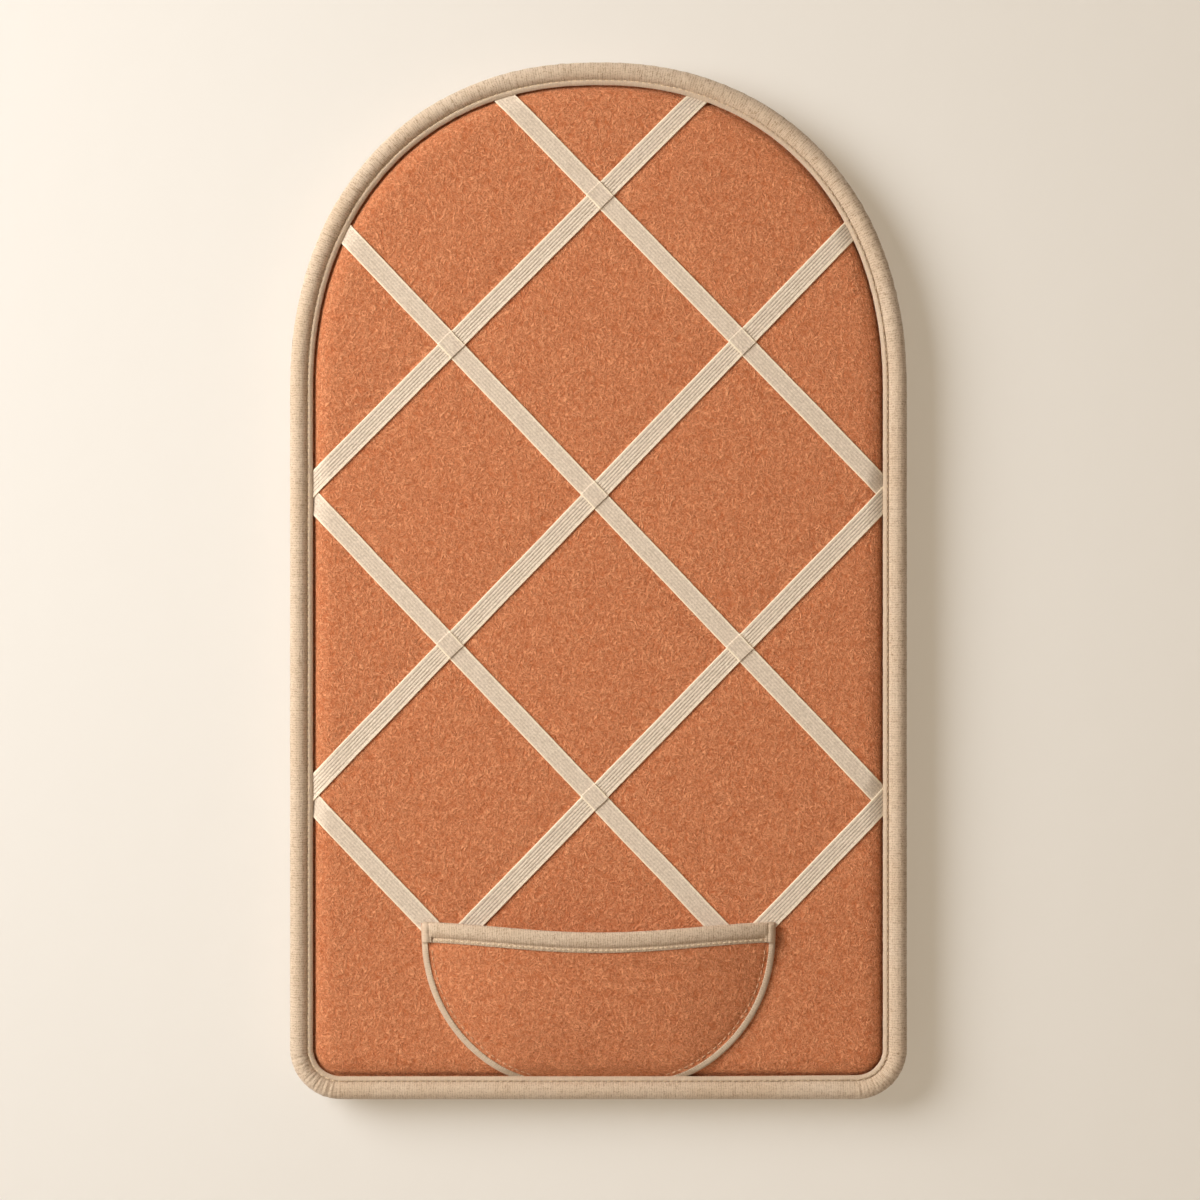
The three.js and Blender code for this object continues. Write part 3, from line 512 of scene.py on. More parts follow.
every_third = np.arange(len(edge_fine[0])) % 3 == 0
chosen = every_third | (near_corners(edge_fine[0], 18) > 0.2)
edge_cloth = tuple(part[chosen] for part in edge_fine[:3])
outer_radius, inner_radius = 5.3, 4.55
flange = [(0.35, 16.75), (0.0, 16.8), (-0.1, 17.0), (0.02, 17.28), (0.38, 17.55), (0.85, 17.87),
          (1.35, 18.15), (1.8, 18.32), (2.2, 18.3), (2.55, 18.0), (2.85, 17.45),
          (2.98, 17.25), (3.2, 17.45)]
roll_outer = (arc(cord_centre, cord_front, outer_radius, 151, 0, 22)
              + arc(cord_centre, cord_rear, outer_radius, 0, -146, 15))
hem = [(0.5, 2.95), (-5, 2.95), (-10.8, 2.95), (-11.0, 3.3), (-10.8, 3.7), (-4, 3.7), (2.9, 3.75)]
roll_inner = (arc(cord_centre, cord_rear, inner_radius, -140, 0, 6)
              + arc(cord_centre, cord_front, inner_radius, 0, 148, 8))
section = np.array(flange + roll_outer + hem + roll_inner)
roll_from, roll_to = len(flange), len(flange) + len(roll_outer)


def gathers(along, length, pitch, seed):
    """Small random folds at about a pitch, which meet themselves after the whole length."""
    chance = np.random.default_rng(seed)
    total = np.zeros(np.shape(along))
    for _ in range(14):
        turns = round(length / (pitch * chance.uniform(0.75, 1.7)))
        total += np.cos(2 * math.pi * turns * along / length + chance.uniform(0, 2 * math.pi))
    return total / 5.3


along = edge_cloth[0]
on_arch = smooth_step(edge_cloth[1][:, 1], 90, 190)
folds = (0.07 + 0.08 * on_arch) * gathers(along, edge_length, 6.5, 11)
creases = 0.42 * near_corners(along, 13) * gathers(along, edge_length, 1.8, 12)
folds += 0.06 * gathers(along, edge_length, 45, 13)
drawn_in = 0.6 * smooth_step(edge_cloth[1][:, 0], 60, 160) + 0.05 * gathers(along, edge_length, 9, 14)
binding_rings = []
for k, (offset, front) in enumerate(section):
    share = crease = pull = 0.0
    if roll_from <= k < roll_to:
        share = math.sin(math.pi * (k - roll_from + 1) / (roll_to - roll_from + 1)) ** 0.5
        crease = 0.2 + 0.8 * math.exp(-((k - roll_from - 8) / 7) ** 2)
    elif 2 < k < roll_from - 1:
        crease = 0.25
    if k < roll_from + 12:
        pull = drawn_in * (1 - smooth_step(offset, 3, 6))
    off_cord = front - cord_front if front > cord_front else min(0, front - cord_rear)
    away = np.array([offset - cord_centre, off_cord])
    away /= np.linalg.norm(away) or 1
    depth = folds * share + creases * crease
    binding_rings.append(ring(edge_cloth, offset + depth * away[0] - pull, front + depth * away[1]))


def distance_round(section):
    return distance_along(np.append(section, section[:1], axis=0))


def grid_threads(down, across):
    """The cloth's own coordinates at the corners of grid_faces, in metres."""
    u, v = down / 1000, across / 1000
    r, c = np.meshgrid(np.arange(len(u) - 1), np.arange(len(v) - 1), indexing="ij")
    corners = [(u[r], v[c]), (u[r + 1], v[c]), (u[r + 1], v[c + 1]), (u[r], v[c + 1])]
    return np.stack([np.stack(pair, -1) for pair in corners], -2).reshape(-1, 4, 2)


def thread_place(look):
    """The cloth's own coordinates: across the strip and along it."""
    threads = node(look, "UVMap", uv_map="threads").outputs[0]
    place = node(look, "SeparateXYZ", {0: threads})
    return place.outputs[0], place.outputs[1]


def ridges(place, pitch, wander):
    """Rounded threads side by side, from 0 between two of them to 1 on top."""
    turns = plus(times(place, math.pi / pitch), wander)
    return math_of(place, "ABSOLUTE", math_of(place, "SINE", turns))


def woven(name, light, middle, dark, pitch):
    """Cotton whose ribs lie across the strip and follow the cloth's own coordinates."""
    cloth = finish(name, middle, 0.88, specular=0.2, sheen=0.15)
    across, along_strip = thread_place(cloth)
    wander = times(noise_of(cloth, 420, 2), 4.2)
    sway = times(noise_of(cloth, 380, 2, shift=(2, 2, 2)), 4.2)
    ribs = ridges(along_strip, pitch, wander)
    picks = ridges(across, pitch * 0.62, sway)
    worn = share_of(noise_of(cloth, 300, 2, shift=(4, 4, 4)), -0.2, 0.7)
    beads = times(times(plus(ribs, 0.5), plus(picks, 0.5)), worn)
    nap = plus(noise_of(cloth, 640, 3, 0.6), noise_of(cloth, 1500, 2, 0.3))
    rough = plus(times(beads, 0.27), times(plus(nap, -1.0), 0.55))
    drawn_out = node(cloth, "CombineXYZ", {0: times(across, 0.25), 1: along_strip}).outputs[0]
    puckers = node(cloth, "TexNoise", {"Vector": drawn_out, "Scale": 560.0, "Detail": 2.0}).outputs[0]
    up = node(cloth, "SeparateXYZ", {0: place_in(cloth)}).outputs[2]
    gathered = share_of(up, -0.05, 0.06, 0.25, 0.62)
    waves = times(plus(puckers, -0.5), gathered)
    ironed = share_of(across, 0.0045, 0.006, 0.4, 1.0)
    stretched = share_of(across, 0.019, 0.024, 1.0, 0.6)
    height = times(plus(rough, waves), times(ironed, stretched))
    # The colour follows the cloth's height: painted shade in the hollows between threads and in the puckers,
    # painted highlight on the thread tops.
    threads = ramp_of(cloth, plus(height, 0.5), (0.4, dark), (0.62, middle), (0.84, light))
    tint = ramp_of(cloth, noise_of(cloth, 24, 2), (0.3, (250, 246, 241)), (0.7, (255, 255, 255)))
    # Painted highlight: the flange and the first few millimetres round each strip are painted lighter,
    # towards the light tone.
    painted_flange_highlight = times(math_of(cloth, "SUBTRACT", 1.0, ironed), 0.75)
    colored(cloth, mixed(cloth, painted_flange_highlight, mixed(cloth, 1.0, threads, tint, "MULTIPLY"), light))
    relief(cloth, height, 0.0006, 0.75)
    return cloth


cotton = woven("natural_cotton_weave", (225, 206, 187), (197, 174, 152), (157, 131, 108), 0.00138)
binding = lofted("edge_binding_cloth", binding_rings, closed=True,
                 threads=grid_threads(distance_round(section), np.append(along, edge_length)))
dressed(binding, cotton, "binding", "edge_binding")

# EDGE STITCHES
# One line of stout cotton thread in the valley between flange and roll, a stitch every 3.6 mm. Each
# stitch is a short twisted thread that dips into the cloth at both ends.


def twisted_thread(name, dark, light):
    thread = finish(name, light, 0.8, specular=0.25)
    twist = node(thread, "TexWave", {"Vector": place_in(thread), "Scale": 900.0, "Distortion": 2.0},
                 bands_direction="DIAGONAL")
    # The thread's colour follows its twist: it is darker in the grooves between the plies, which is painted
    # shade alongside the bump.
    patterned(thread, twist.outputs[0], (0.1, dark), (0.7, light), 0.0001, 0.6)
    return thread


stout_thread = twisted_thread("stout_cotton_thread", (206, 180, 148), (246, 228, 202))


def circle_turns(count):
    return np.arange(count) * 2 * math.pi / count


def stitch_row(name, path, thread, pitch, length, thick, sink):
    """Separate stitches along a path of points, on cloth that faces forwards."""
    run = distance_along(path)
    chance = np.random.default_rng(len(path))
    starts = np.arange(pitch * 0.3, run[-1] - length, pitch)
    stations, sides = 6, 6
    turn = circle_turns(sides)
    points, faces, caps = [], [], []
    for begin in starts:
        long = length * chance.uniform(0.92, 1.06)
        marks = begin + long * np.linspace(0, 1, stations)
        line = np.stack([np.interp(marks, run, path[:, k]) for k in range(3)], 1)
        way = unit(line[-1] - line[0])
        across = unit(np.cross(way, [0, 1, 0]))
        rise = np.cross(across, way)
        rise *= np.sign(rise[1])
        arch = np.sin(np.linspace(0, math.pi, stations)) ** 0.6
        line = line + rise * ((arch - 1) * sink)[:, None] + across * chance.uniform(-0.06, 0.06)
        radius = thick / 2 * (0.55 + 0.45 * arch)
        first = len(points) * stations * sides
        around = np.cos(turn)[:, None] * across + np.sin(turn)[:, None] * rise
        points.append(np.concatenate([middle + r * around for middle, r in zip(line, radius)]))
        faces.append(grid_faces(stations, sides, wrap_columns=True) + first)
        caps += [cap + first for cap in end_caps(stations, sides)]
    dressed(solid_piece(name, np.concatenate(points), np.concatenate(faces), caps), thread, "binding")


stitch_line = ring(edge_cloth, 2.55 - drawn_in, 18.0)
stitch_row("edge_stitches", np.append(stitch_line, stitch_line[:1], axis=0), stout_thread,
           pitch=3.6, length=2.5, thick=0.8, sink=0.6)

# STAPLES
# Sixteen galvanised wire staples hold the hem to the core, hidden under the cover. The frame's solids
# already have their shape.
wire = finish("galvanised_wire", (190, 192, 194), 0.38, metallic=1.0)
patterned(wire, noise_of(wire, 600, 3), (0.3, (160, 163, 166)), (0.7, (206, 208, 210)), 0.00004, 0.4)
for number in range(1, 17):
    coated(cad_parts[f"staple_{number}"], wire)

# STRAPS
# Eight flat elastics, 11 mm wide, woven with rubber cores that show as ribs between two firm selvages.
# They run straight across the felt with their ends under the flange or behind the pocket. Each falling
# one lies over the rising ones, but under them where two ends meet at the edge.
selvage, rib_pitch, end_pitch = 1.65, 1.68, 0.52


def elastic_weave(name, groove_shade, dim, bright):
    weave = finish(name, (226, 209, 186), 0.75, specular=0.25, sheen=0.1)
    across = thread_place(weave)[0]
    off_middle = math_of(weave, "ABSOLUTE", across)
    turns = times(across, 2 * math.pi / (rib_pitch / 1000))
    # Painted shade: the grooves between the ribs are darkened by groove_shade, on top of their real depth in
    # the strap's section.
    grooves = math_of(weave, "POWER", share_of(math_of(weave, "COSINE", turns), -1.0, 1.0), 4.2)
    inside = share_of(off_middle, 0.0041, 0.0039)
    broken = share_of(noise_of(weave, 300, 2), 0.1, 0.55)
    shade = times(times(grooves, inside), broken)
    ends = math_of(weave, "SINE", times(across, 2 * math.pi / (end_pitch / 1000)))
    lint = plus(noise_of(weave, 900, 3, 0.4), times(ends, 0.09))
    # Painted highlight: both edge beads of the elastic are painted near white.
    painted_edge_highlight = share_of(off_middle, 0.0045, 0.0049)
    colour = mixed(weave, times(painted_edge_highlight, 0.8), ramp_of(weave, lint, (0.3, dim), (0.7, bright)),
                   (255, 242, 220))
    colored(weave, mixed(weave, times(shade, groove_shade), colour, (124, 99, 72)))
    relief(weave, lint, 0.00012, 0.6)
    return weave


# Lit and shaded copies of one elastic. The rising straps get dark painted groove shade and the falling
# straps faint, each with a tone to suit. This stands in for light that falls across the rising straps' ribs
# and along the falling ones'.
rising_weave = elastic_weave("ribbed_elastic", 0.7, (213, 197, 181), (246, 232, 217))
falling_weave = elastic_weave("ribbed_elastic_faint_painted_grooves", 0.22, (206, 189, 173), (239, 224, 209))


def strap_profile(depth):
    """The elastic's section: place across it and height of its top, then its flat underside."""
    half = strap_width / 2
    inner = np.linspace(-half + selvage, half - selvage, 41)
    grooves = ((1 + np.cos(2 * math.pi * inner / rib_pitch)) / 2) ** 3
    edge = [(0.0, 0.5), (0.08, 0.75), (0.35, 0.92), (0.7, 0.93), (1.05, 0.84), (1.5, 0.82)]
    top = [(-half + t, h) for t, h in edge]
    top += [(t, strap_thick - 0.03 - depth * g) for t, g in zip(inner, grooves)]
    top += [(half - t, h) for t, h in edge[::-1]]
    return np.array(top + [(half - 0.6, 0.02), (0, 0), (-half + 0.6, 0.02)])


def strip(name, points, around, run):
    """A strip of cloth: its section is closed down the rows, and both its ends are flat."""
    points = np.asarray(points)
    rows, columns = points.shape[:2]
    caps = [np.arange(rows) * columns, np.arange(rows)[::-1] * columns + columns - 1]
    return solid_piece(name, points, grid_faces(rows, columns, True), caps, grid_threads(around, run))


fold_steps = (-0.4, -0.2, 0.0, 0.15, 0.3, 0.45, 0.7)
end_length, end_stations, station_pitch = 16, 26, 1.9


def make_strap(name, strap, node_name):
    rises, height = strap[:2]
    start, along, across = strap_axes(strap)
    profile = strap_profile(0.2 if rises else 0.06)
    spans = np.array([strap_span(strap, side) for side in profile[:, 0]])
    low, high = spans[:, :1], spans[:, 1:]
    first, last = low.max() + end_length, high.min() - end_length
    steps = np.arange(first + 1, last, station_pitch)
    for crossing, _, at_end in meetings(strap):
        if not at_end:
            close = [crossing + way * (strap_width / 2 + d) for way in (-1, 1) for d in fold_steps]
            clear = np.abs(np.abs(steps - crossing) - strap_width / 2) > 1.1
            steps = np.concatenate([steps[clear], close])
    ends = np.linspace(0, 1, end_stations + 1)[:-1]
    steps = np.tile(np.sort(steps), (len(profile), 1))
    runs = np.concatenate([low + (first - low) * ends, steps, high - (high - last) * ends[::-1]], 1)
    seed = int(abs(height))
    side = profile[:, :1] + 0.12 * unevenness(runs, runs * 0, 60, seed)
    x, z = (start[k] + along[k] * runs + across[k] * side for k in (0, 1))
    front = crown(inset_of(x, z)) + strap_gap + strap_lift(strap, runs) + profile[:, 1:]
    front += 0.03 * unevenness(runs, side, 9, seed + 1)
    piece = strip(name, spots(x, front, z), np.append(profile[:, 0], profile[0, 0]), runs.mean(0))
    dressed(piece, rising_weave if rises else falling_weave, "elastic", node_name)


for number, strap in enumerate(strap_lines[:4], 1):
    make_strap(f"rising_strap_{number}", strap, f"strap_up_{number}")
for number, strap in enumerate(strap_lines[4:], 1):
    make_strap(f"falling_strap_{number}", strap, f"strap_down_{number}")

# POCKET PANEL
# A half-round of the same wool felt, cut fuller than its place so that it stands off the face as a
# shallow dome. Its curved edge is sewn down and the lowest part is caught under the bottom flange.
pocket_half, pocket_depth, pocket_power, pocket_line = 103.0, 98.8, 2.15, -198.9
mouth_ends, mouth_dip, pocket_stand, panel_thick = -196.9, 4.9, 13.0, 1.6
panel_half, panel_depth, sewn_margin = 102.1, 97.9, 1.2
cloth_gap, corner_lift, corner_low, corner_high = 0.2, 1.15, -223.6, -214.6


def mouth_height(x):
    return mouth_ends - mouth_dip * (1 + np.cos(math.pi * x / pocket_half)) / 2


def pocket_rim(turn, inset=0.0):
    power = 2 / pocket_power
    x, z = np.cos(turn), np.abs(np.sin(turn))
    return ((pocket_half - inset) * np.sign(x) * np.abs(x) ** power,
            pocket_line - (pocket_depth - inset) * z ** power)


def pocket_bulge(x, z):
    """How far the inside of the pocket stands off the felt."""
    across = np.clip(np.abs(x) / panel_half, 0, 1)
    rim = pocket_line - panel_depth * (1 - across ** pocket_power) ** (1 / pocket_power)
    seam = np.maximum(rim, opening_bottom) + sewn_margin
    top = mouth_height(x)
    share = np.clip((top - z) / (top - seam), 0, 1)
    return pocket_stand * (1 - across ** 2.6) * (1 - share ** 2.4)


def pocket_bed(x, z):
    """What the pocket is sewn to: the felt, and the strap ends caught at the pocket's corners."""
    return crown(inset_of(x, z)) + cloth_gap + corner_lift * smooth_step(z, corner_low, corner_high)


def pocket_back(x, z):
    return pocket_bed(x, z) + pocket_bulge(x, z)


def flattened(x, z):
    """Thickness share of cloth that dives under the bottom flange."""
    return 0.5 + 0.5 * smooth_step(inset_of(x, z), -0.5, 5)


column_turns = np.linspace(0.002, math.pi - 0.002, 131)
row_shares = np.concatenate([np.linspace(0, 0.86, 34), np.linspace(0.88, 1, 13)])
rim_x, rim_z = pocket_rim(column_turns, 0.9)
rim_z = np.maximum(rim_z, opening_bottom - 1.6)
mouth_top = mouth_height(rim_x) - 0.8
rim_z = np.minimum(rim_z, mouth_top - 1.5)
panel_x = np.repeat(rim_x[None], len(row_shares), 0)
panel_z = mouth_top + (rim_z - mouth_top) * row_shares[:, None]
panel_back = pocket_back(panel_x, panel_z)
down_panel = np.minimum(panel_z - pocket_line, 0)
to_rim = ((np.abs(panel_x) / pocket_half) ** pocket_power
          + (-down_panel / pocket_depth) ** pocket_power) ** (1 / pocket_power)
from_rim = np.hypot(panel_x, down_panel) * (1 / to_rim.clip(0.05) - 1)
pucker = 0.12 * np.cos(column_turns[None] * 160) * np.exp(-((from_rim - 7.5) / 3) ** 2)
pucker -= 0.55 * np.exp(-((from_rim - 5.7) / 1.3) ** 2)
panel_back = panel_back + 0.16 * unevenness(panel_x, panel_z, 22, 21) * smooth_step(from_rim, 8, 18)
panel_front = panel_back + panel_thick * flattened(panel_x, panel_z) + pucker
panel_sheet = slab(spots(panel_x, panel_front, panel_z), spots(panel_x, panel_back, panel_z))
pocket_panel = dressed(solid_piece("pocket_felt", *panel_sheet), wool, "felt", "pocket_panel")

# MOUTH BINDING
# The same cotton folded over the pocket's raw upper edge and padded to a soft roll in front, with a
# stitched flange below the roll.
mouth_section = np.array([
    (-0.85, -11.5), (-0.9, -11.0), (-0.9, -6), (-0.9, -1.2), (-0.7, -0.45), (-0.1, 0.0), (0.9, 0.12),
    (2.0, 0.1), (3.0, -0.2), (3.7, -0.8), (4.15, -1.7), (4.4, -2.9), (4.5, -4.2), (4.42, -5.5), (4.15, -6.7),
    (3.65, -7.7), (3.0, -8.35), (2.45, -8.65), (2.3, -8.85), (2.42, -9.05), (2.6, -9.4), (2.68, -10.1),
    (2.66, -10.8), (2.5, -11.35), (2.2, -11.6), (1.9, -11.55), (1.8, -11.2), (1.75, -6), (1.7, -0.7),
    (0.8, -0.45), (-0.25, -0.7), (-0.3, -6), (-0.3, -11.0), (-0.4, -11.5)])
mouth_half, roll_foot, roll_middle, roll_reach = 98.6, 1.8, 4.2, 3.2
mouth_x = np.linspace(-mouth_half, mouth_half, 185)
mouth_folds = 0.10 * gathers(mouth_x, 240, 8, 31) + 0.05 * gathers(mouth_x, 240, 30, 32)
mouth_rows = []
ends_in = 1 - 0.5 * smooth_step(np.abs(mouth_x), mouth_half - 1.6, mouth_half)
for out, up in mouth_section:
    z = mouth_height(mouth_x) + up
    fold = mouth_folds * math.exp(-((up + roll_middle) / roll_reach) ** 2) if out > 2.9 else 0.0
    out = roll_foot + (out - roll_foot) * ends_in if out > roll_foot else out
    mouth_rows.append(spots(mouth_x, pocket_back(mouth_x, z) + out + fold, z))
mouth_binding = strip("pocket_mouth_roll", mouth_rows, distance_round(mouth_section), mouth_x + mouth_half)
dressed(mouth_binding, cotton, "binding", "pocket_mouth_binding")
stitch_z = mouth_height(mouth_x) - 10.0
stitch_row("mouth_stitches", spots(mouth_x, pocket_back(mouth_x, stitch_z) + 2.8, stitch_z)[3:-3],
           stout_thread, pitch=3.1, length=2.6, thick=0.85, sink=0.6)

# POCKET EDGING
# A narrower strip of the cotton folded over the curved edge of the panel and sewn through to the face
# felt. At each end of the mouth it is folded double into a small upright tab, and at the bottom it
# runs in under the flange of the board's edge.
edging_section = np.array([
    (0.55, 0.05), (0.1, 0.0), (-0.05, 0.6), (0.0, 1.3), (0.25, 1.95), (0.65, 2.4), (1.15, 2.65), (1.75, 2.7),
    (2.35, 2.6), (2.9, 2.4), (3.35, 2.2), (3.65, 1.95), (3.6, 1.78), (2.6, 1.85), (1.1, 1.85), (0.7, 1.4),
    (0.6, 0.6)])
strip_middle, tab_length, seam_inset = 2.9, 11.4, 5.8
hands = (-1, "left"), (1, "right")
fine_thread = twisted_thread("fine_peach_thread", (206, 150, 112), (240, 196, 162))


def edging_path(side):
    down = np.linspace(mouth_ends, pocket_line, 5)[:-1]
    turns = np.concatenate([np.linspace(0, 0.16, 50), np.linspace(0.17, 1.27, 130)])
    x, z = pocket_rim(turns)
    place = np.concatenate([np.stack([np.full(4, pocket_half), down], 1), np.stack([x, z], 1)])
    place[:, 0] -= 0.9 * np.exp(-((mouth_ends - place[:, 1]) / 24) ** 2)
    way = unit(np.gradient(place, axis=0))
    inward = way[:, ::-1] * [1, -1]
    return place * [side, 1], inward * [side, 1]


for side, hand in hands:
    place, inward = edging_path(side)
    run = distance_along(place)
    tab = 1 - smooth_step(run, tab_length, tab_length + 1)
    rounded = np.sqrt(1 - (1 - np.clip(run / 2.4, 0, 1)) ** 2).clip(0.12)
    rows = []
    for inward_by, up in edging_section:
        wide = strip_middle + (inward_by * (1 + 0.65 * tab) - strip_middle) * (0.6 + 0.4 * rounded)
        spot = place + inward * wide[:, None]
        x, z = spot[:, 0], np.maximum(spot[:, 1], opening_bottom - 1.8)
        swollen = (0.25 if inward_by == strip_middle else 0.75) if up > 1.9 else 0
        tall = up * (1 + swollen * tab)
        fold = (0.06 + 0.14 * tab) * gathers(run, 200, 6, 40 + side) * (up > 2)
        base = pocket_bed(x, z) + pocket_bulge(x, z) * min(up / 1.8, 1)
        rows.append(spots(x, base + (tall * rounded + fold) * flattened(x, z), z))
    edging = strip(f"pocket_edge_{hand}", rows, distance_round(edging_section), run)
    dressed(edging, cotton, "binding", f"pocket_edging_{hand}")
    seam = place + inward * seam_inset
    keep = (run > 15) & (seam[:, 1] > opening_bottom + 0.6)
    x, z = seam[keep, 0], seam[keep, 1]
    cloth = pocket_back(x, z) + panel_thick * flattened(x, z) - 0.12
    stitch_row(f"edging_stitches_{hand}", spots(x, cloth, z), fine_thread,
               pitch=4.0, length=2.9, thick=0.68, sink=0.5)

# COVER SCREWS
# Eight small zinc-plated screws with domed, cross-slotted heads, driven through the cover and the hem
# into the core.
zinc = finish("zinc_plate", (196, 196, 190), 0.34, metallic=1.0)
patterned(zinc, noise_of(zinc, 500, 3, 0.5), (0.3, (168, 168, 160)), (0.7, (212, 212, 206)), 0.00003, 0.4)
round_turns = circle_turns(48)
recess_depth, recess_reach = 0.75, 0.52


def round_ring(x, z, radius, front):
    """A circle of points that lies flat on the back of the board."""
    return spots(x + radius * np.cos(round_turns), front, z + radius * np.sin(round_turns))


def screw_piece(name, node_name, radius, height, shank, length, seat_front):
    """A pan head with a cross recess on a pointed shank, its axis along the board's thickness."""
    low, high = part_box(node_name)
    x = (low.x + high.x) * 500
    z = ((low.z + high.z) / 2 - board_middle) * 1000
    rings = []
    for share in (0.0, 0.12, 0.24, 0.36, 0.44, 0.52, 0.6, 0.7, 0.8, 0.9, 0.97, 1.0):
        r = max(share * radius, 0.01)
        a, b = np.abs(r * np.cos(round_turns)), np.abs(r * np.sin(round_turns))
        dome = height * (1 - 0.35 * share ** 2 - 0.45 * share ** 8)
        reach = radius * recess_reach
        in_cross = np.maximum(smooth_step(-a, -radius * 0.17, -radius * 0.1) * (b < reach),
                              smooth_step(-b, -radius * 0.17, -radius * 0.1) * (a < reach))
        cut = in_cross * height * recess_depth * max(1 - 0.6 * r / reach, 0)
        rings.append(round_ring(x, z, r, seat_front - dome + cut))
    for r, front in ((radius, 0), (shank, 0), (shank, length * 0.85), (shank * 0.25, length)):
        rings.append(round_ring(x, z, r, seat_front + front))
    dressed(lofted(name, rings), zinc, "screw", node_name)


for number in range(1, 9):
    screw_piece(f"cover_screw_head_{number}", f"cover_screw_{number}",
                radius=2.5, height=1.35, shank=1.2, length=7.6, seat_front=0.0)

# HANGERS
# Two strap hangers of nickel-plated steel: a stamped plate with a rolled eye, two screws, and a ring
# of wire bent to a D that swings in the eye.
nickel = finish("nickel_plate", (214, 210, 202), 0.24, metallic=1.0)
patterned(nickel, noise_of(nickel, 900, 2, stretch=(1, 1, 12)), (0.3, (190, 186, 178)),
          (0.7, (226, 223, 216)), 0.00003, 0.35)
hanger_high, hanger_side, eye_front = 150.0, 90.0, -3.0
plate_half, plate_neck, plate_tall, plate_corner = 6.9, 4.5, 34.0, 3.0
eye_section = [(-4.3, 1.75), (-4.5, 2.0), (-4.5, 2.7), (-4.3, 2.88), (4.3, 2.88), (4.5, 2.7), (4.5, 2.0),
               (4.3, 1.75)]
ring_bend, wire_radius, ring_half, ring_tall = 2.4, 1.2, 9.8, 16.0

plate = [(plate_neck, -1.5), (plate_half, -7.5)]
plate += arc(plate_half - plate_corner, plate_corner - plate_tall, plate_corner, 0, -90, 9)
plate = np.array(plate + [(-a, b) for a, b in plate[::-1]])
plate_way = unit(plate - plate.mean(0))
plate_section = (-0.3, -0.1), (0.0, -0.35), (0.0, -1.05), (-0.3, -1.3)
eye_turns, wire_turns = circle_turns(40), circle_turns(14)
lower = arc(ring_half - ring_bend, ring_bend, ring_bend, -90, 0, 8)
bow_foot = ring_bend + wire_radius
upper = [(ring_half * math.cos(t), bow_foot + (ring_tall - bow_foot) * math.sin(t))
         for t in np.linspace(0, math.pi, 48)]
ring_line = np.array(lower + upper + [(-a, b) for a, b in lower[::-1]]
                     + [(a, 0.0) for a in np.linspace(-6, 6, 7)])
ring_way = unit(np.roll(ring_line, -1, 0) - np.roll(ring_line, 1, 0))
for side, hand in hands:
    middle = side * hanger_side
    plate_edge = 0, plate + [middle, hanger_high], plate_way
    dressed(stacked(f"hanger_strap_{hand}", plate_edge, plate_section), nickel, "nickelled_steel",
            f"hanger_plate_{hand}")
    eye = [spots(middle + out, eye_front - radius * np.cos(eye_turns),
                 hanger_high + radius * np.sin(eye_turns)) for out, radius in eye_section]
    dressed(lofted(f"hanger_eye_{hand}", eye, closed=True), nickel, "nickelled_steel")
    wire_rings = [spots(middle + a + q * wire_radius * np.cos(wire_turns),
                        eye_front - wire_radius * np.sin(wire_turns),
                        hanger_high + b - p * wire_radius * np.cos(wire_turns))
                  for (a, b), (p, q) in zip(ring_line, ring_way)]
    dressed(lofted(f"hanger_wire_ring_{hand}", wire_rings, closed=True), nickel,
            "nickelled_steel", f"hanger_ring_{hand}", body=f"ring_{hand}")
for number in range(1, 5):
    screw_piece(f"hanger_screw_head_{number}", f"hanger_screw_{number}",
                radius=3.2, height=1.95, shank=1.5, length=8.6, seat_front=-1.3)

# BUMPERS
# Two domes of dark rubber, stuck on near the bottom corners, which hold the board off the wall there
# as far as the rings do above.
rubber = finish("bumper_rubber", (52, 48, 46), 0.7)
patterned(rubber, noise_of(rubber, 1100, 3), (0.4, (46, 42, 40)), (0.75, (84, 79, 74)), 0.00005, 0.5)
bumper_side, bumper_high = 140.2, -261.7
bumper_section = ((5.85, 0.0), (6.0, -0.4), (6.0, -3.2), (5.8, -4.2), (5.3, -5.1), (4.6, -5.7), (3.8, -6.0))
for side, hand in hands:
    bumper = lofted(f"bumper_dome_{hand}", [round_ring(side * bumper_side, bumper_high, radius, front)
                                            for radius, front in bumper_section])
    dressed(bumper, rubber, "bumper", f"bumper_{hand}")

# WALL, LIGHT AND CAMERA
# A pale plaster wall, seen only from the room's side, and a plain floor far below. One soft lamp stands
# high on the left, as in the photograph, a weak one in front, and two light the back of the board.


def in_plain_sight(owner):
    """1 where the eye meets a paint or the sky, straight on or by way of metal, and else 0."""
    ways = node(owner, "LightPath").outputs
    mirrored = math_of(owner, "MAXIMUM", ways["Is Glossy Ray"], ways["Is Transmission Ray"])
    return math_of(owner, "MAXIMUM", ways["Is Camera Ray"], mirrored)


def shown_as(owner, output, shader):
    """Ends a paint or the sky in a shader."""
    owner.node_tree.links.new(shader, owner.node_tree.nodes[output].inputs["Surface"])


room_half, room_low, room_high, wall_gap = 4, -1.6, 3, 0.0012


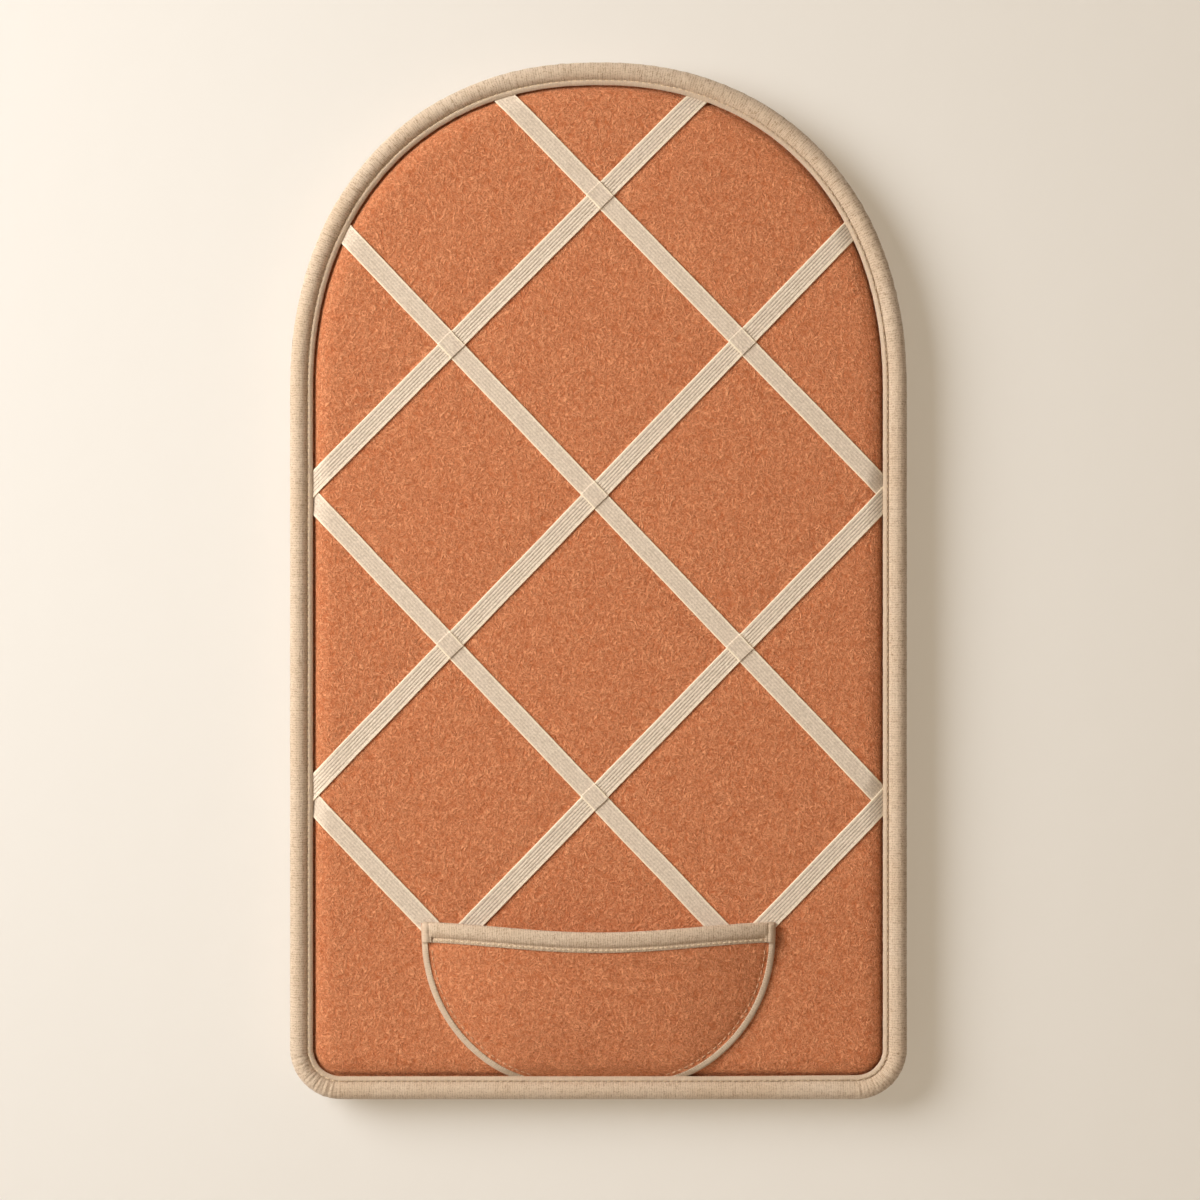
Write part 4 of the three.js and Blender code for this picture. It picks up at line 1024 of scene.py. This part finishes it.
def stage_sheet(name, near, far, color, shown_color, shown_share):
    """One side of a sheet of paint between two level edges. The eye sees part of its own colour there."""
    corners = [(side * room_half, *edge) for side, edge in ((-1, near), (1, near), (1, far), (-1, far))]
    mesh = bpy.data.meshes.new(name)
    mesh.from_pydata(corners, [], [(0, 1, 2, 3)])
    sheet = in_scene(name, mesh)
    paint = finish(name + "_paint", color, 0.9, specular=0.1)
    relief(paint, noise_of(paint, 40, 4), 0.001, 0.25)
    glow = node(paint, "Emission", {"Color": shown_color}).outputs[0]
    share = times(in_plain_sight(paint), shown_share)
    front = node(paint, "MixShader", {0: share, 1: surface_of(paint).outputs[0], 2: glow}).outputs[0]
    facing_away = node(paint, "NewGeometry").outputs["Backfacing"]
    clear = node(paint, "BsdfTransparent").outputs[0]
    one_side = node(paint, "MixShader", {0: facing_away, 1: front, 2: clear}).outputs[0]
    shown_as(paint, "Material Output", one_side)
    coated(sheet, paint)
    sheet.visible_shadow = False


sky_tone = (238, 232, 222)
stage_sheet("wall", (wall_gap, room_low), (wall_gap, room_high), (235, 237, 243), (250, 229, 197), 0.28)
stage_sheet("floor", (-room_half, room_low), (wall_gap, room_low), (232, 226, 216), sky_tone, 0.7)


def soft_lamp(name, place, size, power, color=(1, 1, 1), spread=180, aim_x=0.0):
    light = bpy.data.lights.new(name, "AREA")
    light.spread = math.radians(spread)
    light.shape, light.size, light.energy, light.color = "DISK", size, power, color
    lamp = in_scene(name, light)
    lamp.location = place
    aim = Vector((aim_x, 0, board_middle)) - Vector(place)
    lamp.rotation_euler = aim.to_track_quat("-Z", "Y").to_euler()


soft_lamp("window_side", (-1.6, -1.25, 0.5), 1.6, 19.7, (1.0, 0.965, 0.885), spread=100, aim_x=-0.25)
soft_lamp("room_side", (1.2, -2.6, 0.6), 2.0, 0.8, (1.0, 0.98, 0.95))
soft_lamp("behind_left", (-0.8, 2.3, 0.8), 1.2, 20)
soft_lamp("behind_right", (0.9, 2.2, -0.3), 1.4, 12)

world = bpy.data.worlds.new("room")
bpy.context.scene.world = world
world.use_nodes = True
ambient = world.node_tree.nodes["Background"]
ambient.inputs["Color"].default_value = tone(250, 226, 195)
ambient.inputs["Strength"].default_value = 0.27
sky = node(world, "Background", {"Color": sky_tone}).outputs[0]
shown_as(world, "World Output", node(world, "MixShader", {
    0: in_plain_sight(world), 1: ambient.outputs[0], 2: sky}).outputs[0])

camera = bpy.data.cameras.new("camera")
camera.lens, camera.sensor_width, camera.clip_end = 100, 36, 50
viewer = in_scene("camera", camera)
shown_width, face_depth, eye_right, eye_down = 0.69336, 0.019, 0.00087, 0.01115
far_off = shown_width * camera.lens / camera.sensor_width
viewer.location = (eye_right, cover_rear - face_depth - far_off, board_middle - eye_down)
viewer.rotation_euler = (math.pi / 2, 0, 0)
bpy.context.scene.camera = viewer
bpy.context.scene.view_settings.view_transform = "Standard"
